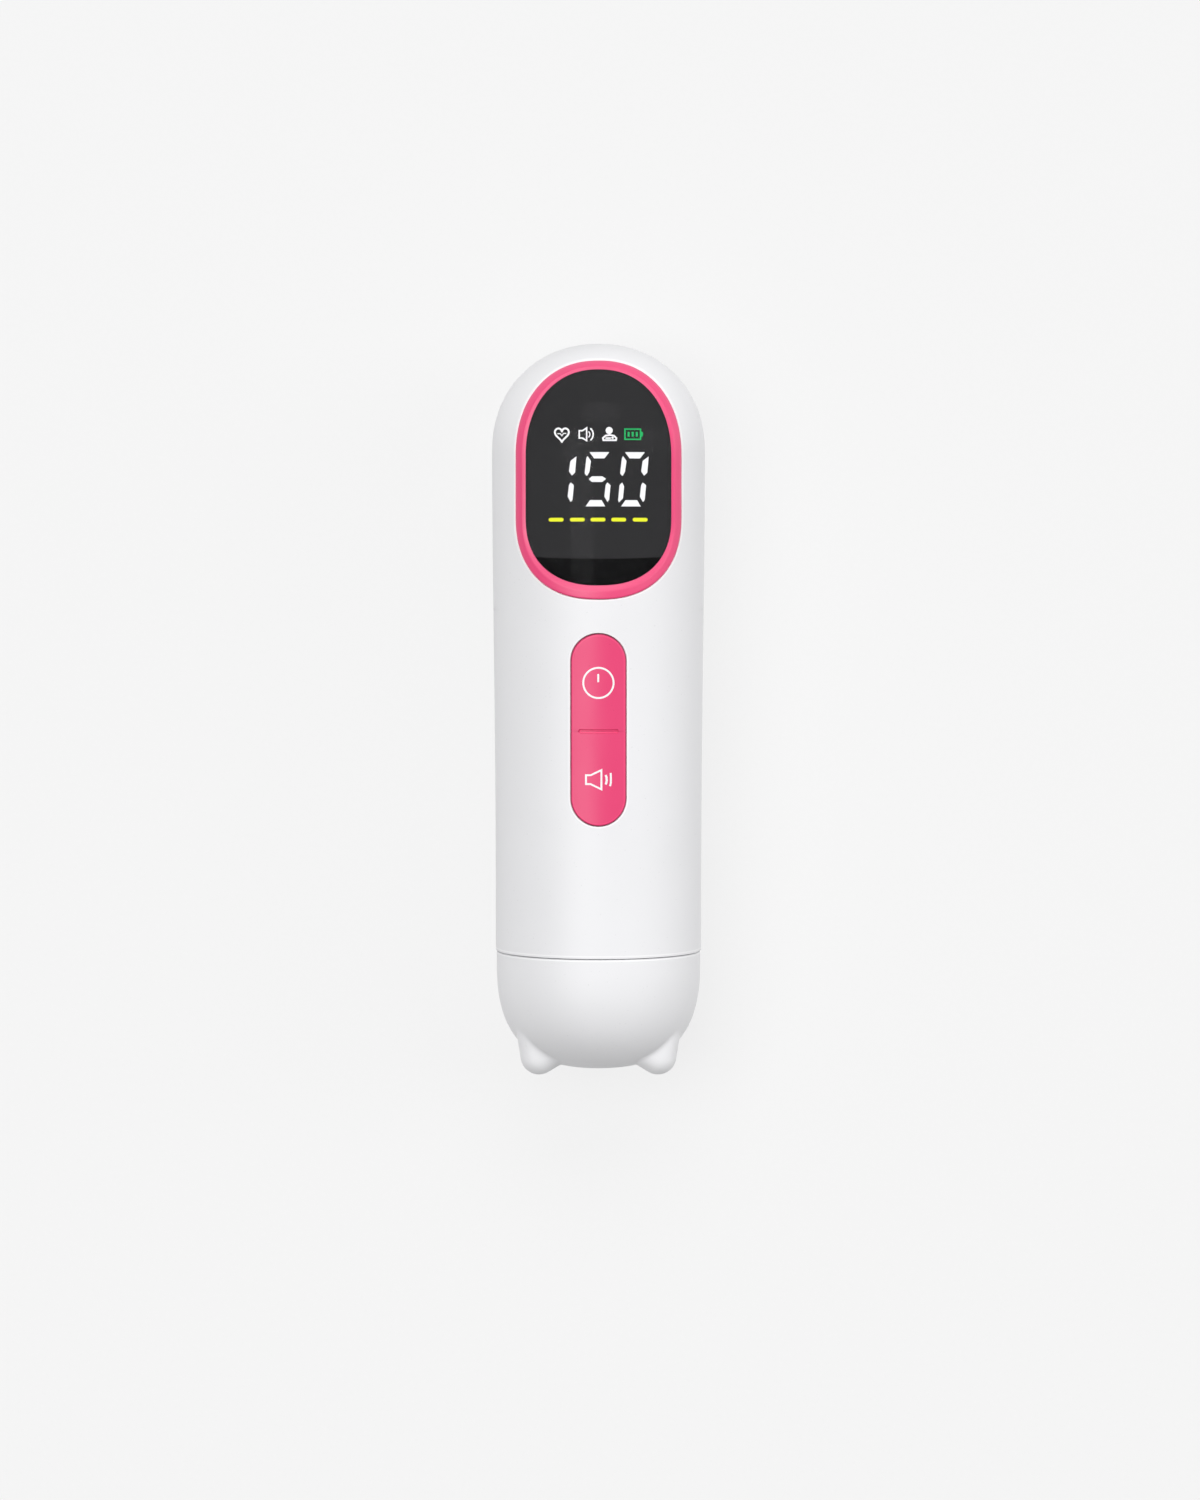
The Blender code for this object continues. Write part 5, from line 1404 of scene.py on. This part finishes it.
def carved(mesh, tools):
    """A mesh with closed tools cut out of it."""
    collection = bpy.context.scene.collection
    part = bpy.data.objects.new("carved", mesh)
    collection.objects.link(part)
    helpers = []
    for tool in tools:
        helper = bpy.data.objects.new("tool", raw_mesh(tool, "tool"))
        collection.objects.link(helper)
        cut = part.modifiers.new("cut", "BOOLEAN")
        cut.operation = "DIFFERENCE"
        cut.solver = "EXACT"
        cut.object = helper
        helpers.append(helper)
    bpy.context.view_layer.update()
    graph = bpy.context.evaluated_depsgraph_get()
    result = bpy.data.meshes.new_from_object(part.evaluated_get(graph))
    for helper in helpers + [part]:
        bpy.data.objects.remove(helper)
    return result


def slot_outline(half_height, half_width):
    """A slot's outline, wide along the body, with round ends."""
    reach = half_width - half_height
    right = arc((reach, 0), half_height, -90, 90, 12)
    return right + arc((-reach, 0), half_height, 90, 270, 12)


def side_cutter(outline, middle):
    """A closed cutter along X through the shell's side, with an outline round a place."""
    inner, outer = 12 * MM, 30 * MM
    shape = bmesh.new()
    rows = []
    for place in (inner, outer):
        rows.append([(place, middle.y + across, middle.z + up) for across, up in outline])
    loft(shape, rows, closed=True)
    capped(shape)
    return shape


def node_box(name):
    """A node's lowest and highest corners and its middle, in the shapes' own frame."""
    low, high = (Vector(corner) - TO_PLACE.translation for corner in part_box(name))
    return low, high, (low + high) / 2


def numbered(name, count):
    """The names of like pieces, counted from 1."""
    return [f"{name}_{number}" for number in range(1, count + 1)]


class DOPPLER_OT_rear_shell(bpy.types.Operator):
    """Builds the back of the body with its flat, grille, screw holes and ports"""

    bl_idname = "doppler.rear_shell"
    bl_label = "Rear Shell"

    def execute(self, context):
        body = settings().body
        gap = body.parting_gap / 2
        high = shoulder()
        count = 40
        chain = crown_chain()
        chain += [side_point(high * (1 - step / count), gap) for step in range(1, count + 1)]
        spine = [(0, y if y < high else high + (y - high) * 0.8) for _, y in chain]
        rows = []
        for turn in quarter_turns(44):
            plan = between(chain, spine, 1 - math.cos(turn))
            rows.append([point * Vector((1, 1, -1)) for point in on_front(plan)])
        shape = bmesh.new()
        loft(shape, rows)
        mirrored(shape)
        facing(shape, (0, 0, -1))
        rim = cut_at_flat(shape)
        at_seam = 0.01 * MM
        foot = {vert for edge in rim for vert in edge.verts if vert.co.y < at_seam}
        ends = sorted(foot, key=lambda vert: vert.co.x)
        if len(ends) > 1:
            rim.append(shape.edges.new((ends[0], ends[-1])))
        bmesh.ops.contextual_create(shape, geom=rim)
        bmesh.ops.recalc_face_normals(shape, faces=shape.faces)
        facing(shape, (0, 0, -1))
        bmesh.ops.solidify(shape, geom=shape.faces[:], thickness=body.wall)
        round_shell(shape)
        shell_piece(carved(raw_mesh(shape, "rear_shell_form"), self.tools()), "rear_shell")
        return {"FINISHED"}

    def tools(self):
        """The cutters for the grille, the screws and the ports."""
        body, details = settings().body, settings().details
        grille, wells = bmesh.new(), bmesh.new()
        middle = node_box("speaker_mesh")[2]
        outside, inside = -body.flat - 0.1 * MM, -body.flat + 4 * MM
        for ring, count in ((0, 1), (1, 6), (2, 12)):
            reach = ring * details.grille_pitch
            for step in range(count):
                turn = math.tau * step / count
                add_cutter(grille, reach * math.cos(turn), middle.y + reach * math.sin(turn),
                           outside, inside, details.grille_hole, details.grille_flare)
        for name in numbered("shell_screw", 4):
            middle = node_box(name)[2]
            add_cutter(wells, middle.x, middle.y, -body.radius, -details.well_floor,
                       details.well, details.well_flare)
        outline = slot_outline(details.socket_high, details.socket_wide)
        socket = side_cutter(outline, node_box("usb_socket")[2])
        outline = arc((0, 0), details.jack_hole, 0, 352.5, 47)
        return [grille, wells, socket, side_cutter(outline, node_box("earphone_jack")[2])]


# Probe cap


# From an ear's tip to where it is as thick as its root, in tip radii
EAR_ROOT = 2.2
# The ears are drawn out of the dome away from this place, and by no more than the reach
EAR_CENTRE = Vector((0, -6 * MM, 0))
EAR_REACH = 9 * MM


def dome_distance(point):
    """Roughly how far a point is outside the cap without its ears."""
    cap = settings().cap
    across = math.hypot(point.x, point.z)
    down = (-cap.skirt - point.y) / cap.dome
    if down <= 0:
        return across - cap.radius
    share = ((across / cap.radius) ** cap.power + down**cap.power) ** (1 / cap.power)
    return (share - 1) * cap.radius


def ear_distance(point):
    """How far a point is outside the nearer ear, a pillow with a flaring round-tipped outline."""
    cap = settings().cap
    root = Vector((-math.sin(cap.ear_tilt), math.cos(cap.ear_tilt)))
    off = Vector((abs(point.x) - cap.ear_spread, point.y + cap.ear_drop))
    along, across = off.dot(root), abs(off.cross(root))
    if along < -across * math.tan(cap.ear_flare):
        inside = off.length
    else:
        inside = across * math.cos(cap.ear_flare) - along * math.sin(cap.ear_flare)
    rise = min(max((along / cap.ear_radius + 1) / EAR_ROOT, 0), 1)
    half = cap.ear_depth * (cap.ear_taper + (1 - cap.ear_taper) * rise)
    depth = abs(point.z - cap.ear_height + cap.ear_depth) * cap.ear_radius / half
    power = cap.ear_power
    return (max(inside, 0) ** power + depth**power) ** (1 / power) - cap.ear_radius


def cap_distance(point):
    """How far a point is outside the cap, with the ears blended in."""
    blend = settings().cap.ear_blend
    dome, ear = dome_distance(point), ear_distance(point)
    share = max(blend - abs(dome - ear), 0) / blend
    return min(dome, ear) - share**2 * blend / 4


def grown_to_ears(point):
    """A point of the dome moved out to the surface that includes the ears."""
    if cap_distance(point) > -MERGE:
        return point
    direction = (point - EAR_CENTRE).normalized()
    low = (point - EAR_CENTRE).length
    high = low + EAR_REACH
    for _ in range(22):
        middle = (low + high) / 2
        if cap_distance(EAR_CENTRE + direction * middle) < 0:
            low = middle
        else:
            high = middle
    return EAR_CENTRE + direction * low


class DOPPLER_OT_probe_cap(bpy.types.Operator):
    """Builds the probe cap with two ears that flow out of its dome"""

    bl_idname = "doppler.probe_cap"
    bl_label = "Probe Cap"

    def execute(self, context):
        cap = settings().cap
        edge, inside, chamfer, count = cap.edge, cap.radius - cap.wall, 0.2 * MM, 5
        inner = quarter(inside, cap.dome - cap.wall, cap.power, 24)
        outline = [(x, -cap.skirt - y) for x, y in inner]
        outline += [(inside, -cap.gap - chamfer), (inside + chamfer, -cap.gap)]
        outline += [
            (cap.radius - edge + edge * math.sin(turn), -cap.gap - edge + edge * math.cos(turn))
            for turn in quarter_turns(count)
        ]
        outline += [
            (cap.radius, -cap.gap - edge - (cap.skirt - cap.gap - edge) * step / count)
            for step in range(1, count)
        ]
        dome = quarter(cap.radius, cap.dome, cap.power, 104)
        outline += [(x, -cap.skirt - y) for x, y in dome[::-1]]
        shape = turned(outline, 300)
        on_dome = 0.01 * MM
        for vert in shape.verts:
            if vert.co.y < -cap.skirt and abs(dome_distance(vert.co)) < on_dome:
                vert.co = grown_to_ears(vert.co)
        bmesh.ops.contextual_create(shape, geom=cut_at_flat(shape))
        bmesh.ops.recalc_face_normals(shape, faces=shape.faces)
        add("probe_cap_form", shape, "cap", "white_plastic", ["probe_cap"])
        return {"FINISHED"}


class DOPPLER_OT_probe(bpy.types.Operator):
    """Builds the probe's housing, its soft face and the ring that grips the cap"""

    bl_idname = "doppler.probe"
    bl_label = "Probe"

    def execute(self, context):
        probe = settings().probe
        steps = 160
        back, soft = 0.6 * MM, 0.5 * MM
        inside = probe.radius - probe.wall
        mouth = probe.nose - probe.lip
        rib = probe.radius - probe.rib_depth
        grip = probe.radius - probe.grip_depth
        grip_high = probe.grip_width - probe.grip
        grip_low = -probe.grip_width - probe.grip
        outline = [
            (probe.radius, probe.top), (probe.radius, probe.rib_high), (rib, probe.rib_high),
            (rib, probe.rib_low), (probe.radius, probe.rib_low), (probe.radius, grip_high),
            (grip, grip_high), (grip, grip_low), (probe.radius, grip_low),
            (probe.radius, -probe.collar), (probe.nose, back - probe.foot),
            (probe.nose - back, -probe.foot), (mouth, -probe.foot),
            (mouth, probe.lip - probe.foot), (inside, probe.lip - probe.foot),
            (inside, probe.top),
        ]
        shape = turned(softened(outline, soft), steps)
        self.finish(shape, "probe_housing", "probe_plastic")
        outline = [(x, -probe.foot - y) for x, y in quarter(probe.face, probe.crown, 2.4, 24)]
        outline += [(probe.face, back - probe.foot), (0, back - probe.foot)]
        self.finish(turned(outline, steps), "probe_face", "probe_silicone")
        outline = [
            (x + probe.grip_reach, y - probe.grip)
            for x, y in arc((0, 0), probe.grip_wire, 0, 360, 20)
        ]
        self.finish(turned(outline, steps), "cap_grip_ring", "black_rubber")
        return {"FINISHED"}

    def finish(self, shape, name, look):
        """Adds the piece that stands for one of the probe's solids."""
        add(f"{name}_form", shape, "wand", look, [name])


# Small parts that show


class DOPPLER_OT_screws(bpy.types.Operator):
    """Builds the shell screws with their cross recesses"""

    bl_idname = "doppler.screws"
    bl_label = "Shell Screws"

    def execute(self, context):
        details = settings().details
        head, top, shank = details.head, details.head_height, details.shank
        recess = (details.cross_width, details.cross, 2 * details.cross_depth)
        for name in numbered("shell_screw", 4):
            low, high, middle = node_box(name)
            end = high.z - low.z
            outline = [(0, 0)]
            outline += [
                (head * math.sin(turn) ** 0.7, top * 0.55 * (1 - math.cos(turn)))
                for turn in quarter_turns(8)
            ]
            outline += [(head, top), (shank, top), (shank, end - shank), (shank * 0.4, end),
                        (0, end)]
            arms = bmesh.new(), bmesh.new()
            block(arms[0], (0, 0, 0), recess)
            block(arms[1], (0, 0, 0), (recess[1], recess[0], recess[2]))
            mesh = carved(raw_mesh(turned(outline, 32, "Z"), name), arms)
            mesh.transform(TO_PLACE @ Matrix.Translation((middle.x, middle.y, low.z)))
            smoothed(mesh, 35)
            piece(f"{name}_form", mesh, "wand", "plated_steel", [name])
        return {"FINISHED"}


class DOPPLER_OT_ports(bpy.types.Operator):
    """Builds the charging socket and the earphone jack"""

    bl_idname = "doppler.ports"
    bl_label = "Ports"

    def execute(self, context):
        self.charging_socket()
        self.earphone_jack()
        return {"FINISHED"}

    def charging_socket(self):
        """The socket's metal with its rounded mouth, its tongue and the contacts."""
        details = settings().details
        low, high, middle = node_box("usb_socket")
        half_height = (high.z - low.z) / 2
        half_width = (high.y - low.y) / 2
        wall, lip, floor = details.socket_wall, 0.1 * MM, 0.6 * MM
        outer = slot_outline(half_height, half_width)
        inner = slot_outline(half_height - wall, half_width - wall)
        rim = between(inner, outer, 0.5)
        rows = [
            [(place, middle.y + across, middle.z + up) for across, up in outline]
            for outline, place in (
                (inner, low.x + floor), (inner, high.x - lip), (rim, high.x),
                (outer, high.x - lip), (outer, low.x))
        ]
        shape = bmesh.new()
        loft(shape, rows, closed=True)
        capped(shape)
        add("charging_shell", shape, "wand", "plated_steel", ["usb_socket"])

        shape = bmesh.new()
        short, edge = 1.4 * MM, 0.12 * MM
        wide = (half_width - half_height) * 2
        block(shape, middle, (high.x - low.x - short, wide, details.tongue))
        rounded(shape, shape.edges[:], edge, 2)
        add("charging_tongue", shape, "wand", "black_plastic")

        shape = bmesh.new()
        width, thickness, count = 0.34 * MM, 0.06 * MM, 8
        inwards, off = 2.2 * MM, 0.36 * MM
        for number in range(count):
            across = (number - (count - 1) / 2) * details.contact_pitch
            for side in (-1, 1):
                place = (high.x - inwards, middle.y + across, middle.z + side * off)
                block(shape, place, (details.contact, width, thickness))
        add("charging_contacts", shape, "wand", "gold_film")

    def earphone_jack(self):
        """The jack's turned body with its bore."""
        details = settings().details
        low, high, middle = node_box("earphone_jack")
        bore, nose, body = details.jack_bore, details.jack_nose, details.jack_body
        chamfer = details.jack_chamfer
        bottom, step = low.x + 1.2 * MM, high.x - 2.6 * MM
        outline = [
            (0, bottom), (bore, bottom), (bore, high.x - chamfer), (bore + chamfer, high.x),
            (nose - chamfer, high.x), (nose, high.x - chamfer), (nose, step),
            (body, step - 0.2 * MM), (body, low.x), (0, low.x),
        ]
        shape = turned(outline, 40)
        turn = Matrix.Translation((0, middle.y, middle.z)) @ Matrix.Rotation(-math.pi / 2, 4, "Z")
        bmesh.ops.transform(shape, matrix=turn, verts=shape.verts)
        add("earphone_socket", shape, "wand", "black_plastic",
            ["earphone_jack"])


SOLID_LOOKS = {
    "panel_glass": ["display_panel"],
    "diffuser_white": ["display_backlight"],
    "amber_film": ["display_ribbon", "port_ribbon"],
    "grey_plastic": ["key_retainer", "power_plunger", "volume_plunger", "battery_cradle"],
    "black_plastic": ["power_switch", "volume_switch", "processor_chip", "amplifier_chip",
                      "speaker_cone"],
    "circuit_board": ["main_board", "port_board"],
    "plated_steel": ["shield_can", "speaker_frame", "speaker_magnet",
                     *numbered("board_screw", 4), *numbered("retainer_screw", 2),
                     *numbered("port_screw", 2)],
    "connector_nylon": ["battery_socket", "speaker_socket", "probe_socket"],
    "cell_sleeve": ["battery_cell"],
    "red_insulation": ["battery_lead_red", "speaker_lead_red"],
    "black_rubber": ["battery_lead_black", "speaker_lead_black"],
    "acoustic_mesh": ["speaker_mesh"],
    "gold_film": ["transmit_crystal", "receive_crystal"],
    "grey_rubber": ["crystal_backing", "transmit_lead", "receive_lead"],
}


class DOPPLER_OT_solids(bpy.types.Operator):
    """Gives the inner solids their finishes"""

    bl_idname = "doppler.solids"
    bl_label = "Inner Parts"

    def execute(self, context):
        looks = finishes()
        for look, names in SOLID_LOOKS.items():
            for name in names:
                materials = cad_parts[name].data.materials
                materials.clear()
                materials.append(looks[look])
        return {"FINISHED"}


# What the camera takes in, in metres at its aim, and where it aims
VIEW_HEIGHT = 0.3243
VIEW_AIM = Vector((0.00032, -0.0088, AXIS))
VIEW_DISTANCE = 6.0
SENSOR = 36
FLOOR_HALF = 4.0
FLOOR_DROP = 0.05 * MM
FLOOR_TONES = (0.115, 0.115, 0.115), (0.13, 0.13, 0.13)
FLOOR_GLOW = 0.78
SKY_LIGHT = 0.13
SKY_SEEN = 0.85

# Name, place, width, height and power
LAMPS = [
    ("top_light", (-2.1, 0.8, 6.0), 3.6, 4.0, 256.0),
    ("crown_light", (0.3, 4.5, 4.6), 4.8, 2.6, 160.0),
    ("right_light", (4.6, 1.2, 4.2), 3.0, 4.0, 91.0),
    ("low_right_light", (6.0, 1.0, 1.9), 2.0, 4.0, 52.0),
]


class DOPPLER_OT_stage(bpy.types.Operator):
    """Builds the floor, the lights and the camera"""

    bl_idname = "doppler.stage"
    bl_label = "Stage"

    def execute(self, context):
        context.scene.view_settings.view_transform = "Standard"
        self.floor()
        self.sky()
        for name, place, width, height, power in LAMPS:
            self.lamp(name, place, width, height, power)
        self.camera()
        return {"FINISHED"}

    def floor(self):
        """Pale paper with a faint glow, which keeps the shadows as soft as in the photograph."""
        shape = bmesh.new()
        bmesh.ops.create_grid(shape, x_segments=8, y_segments=8, size=FLOOR_HALF)
        mesh = raw_mesh(shape, "floor")
        mesh.transform(Matrix.Translation((0, 0, -FLOOR_DROP)))
        tree, shader, place = new_material("floor_paper")
        fibres = noise_node(tree, place, 900.0, 3.0, 0.6)
        tree.links.new(mixed(tree, fibres, *FLOOR_TONES), shader.inputs["Base Color"])
        shader.inputs["Emission Color"].default_value = (1, 1, 1, 1)
        shader.inputs["Emission Strength"].default_value = FLOOR_GLOW
        shader.inputs["Roughness"].default_value = 0.9
        shader.inputs["Specular IOR Level"].default_value = 0.1
        mesh.materials.append(bpy.data.materials["floor_paper"])
        floor = bpy.data.objects.new("floor", mesh)
        bpy.context.scene.collection.objects.link(floor)

    def sky(self):
        """A white sky that looks brighter to the camera than the light it gives."""
        world = bpy.data.worlds.new("studio")
        world.use_nodes = True
        tree = world.node_tree
        background = tree.nodes["Background"]
        background.inputs["Color"].default_value = (1, 1, 1, 1)
        seen = tree.nodes.new("ShaderNodeLightPath").outputs["Is Camera Ray"]
        seen = math_node(tree, "MULTIPLY", seen, SKY_SEEN - SKY_LIGHT)
        tree.links.new(math_node(tree, "ADD", seen, SKY_LIGHT), background.inputs["Strength"])
        bpy.context.scene.world = world

    def camera(self):
        """The camera above the display, tipped to look a little towards the probe cap."""
        data = bpy.data.cameras.new("camera")
        data.sensor_width = SENSOR
        data.lens = SENSOR * VIEW_DISTANCE / VIEW_HEIGHT
        data.dof.use_dof = False
        camera = bpy.data.objects.new("camera", data)
        ahead = Matrix.Rotation(VIEW_TILT, 3, "X") @ Vector((0, 0, -1))
        camera.location = VIEW_AIM - ahead * VIEW_DISTANCE
        camera.rotation_euler = (VIEW_TILT, 0, 0)
        bpy.context.scene.collection.objects.link(camera)
        bpy.context.scene.camera = camera

    def lamp(self, name, place, width, height, power):
        """A soft box that faces the doppler."""
        data = bpy.data.lights.new(name, "AREA")
        data.shape = "RECTANGLE"
        data.size = width
        data.size_y = height
        data.energy = power
        lamp = bpy.data.objects.new(name, data)
        lamp.location = place
        aim = Vector((0, 0, 0.02)) - Vector(place)
        lamp.rotation_euler = aim.to_track_quat("-Z", "Y").to_euler()
        bpy.context.scene.collection.objects.link(lamp)


class DOPPLER_PT_panel(bpy.types.Panel):
    """The doppler's tools and sizes"""

    bl_label = "Doppler"
    bl_idname = "DOPPLER_PT_panel"
    bl_space_type = "VIEW_3D"
    bl_region_type = "UI"
    bl_category = "Doppler"

    def draw(self, context):
        layout = self.layout
        for operator in OPERATORS:
            layout.operator(operator.bl_idname)
        for title in ("body", "ring", "keys", "cap", "probe", "details", "colours"):
            box = layout.box()
            box.label(text=title.capitalize())
            values = getattr(context.scene.doppler, title)
            for prop in values.bl_rna.properties:
                if prop.identifier not in ("rna_type", "name"):
                    box.prop(values, prop.identifier)


GROUPS = (
    BodySizes, RingSizes, KeySizes, CapSizes, ProbeSizes, DetailSizes, Colours,
    DopplerSettings,
)
OPERATORS = (
    DOPPLER_OT_front_shell, DOPPLER_OT_display_ring, DOPPLER_OT_display, DOPPLER_OT_keys,
    DOPPLER_OT_key_marks, DOPPLER_OT_display_marks, DOPPLER_OT_rear_shell,
    DOPPLER_OT_probe_cap, DOPPLER_OT_probe, DOPPLER_OT_screws, DOPPLER_OT_ports,
    DOPPLER_OT_solids, DOPPLER_OT_stage,
)
CLASSES = GROUPS + OPERATORS + (DOPPLER_PT_panel,)


def register():
    """Registers the settings, the operators and the panel."""
    for item in CLASSES:
        bpy.utils.register_class(item)
    bpy.types.Scene.doppler = PointerProperty(type=DopplerSettings)


def unregister():
    """Takes the settings, the operators and the panel away."""
    del bpy.types.Scene.doppler
    for item in reversed(CLASSES):
        bpy.utils.unregister_class(item)


def main():
    """Builds everything in order."""
    register()
    for operator in OPERATORS:
        family, name = operator.bl_idname.split(".")
        getattr(getattr(bpy.ops, family), name)()


if __name__ == "__main__":
    main()
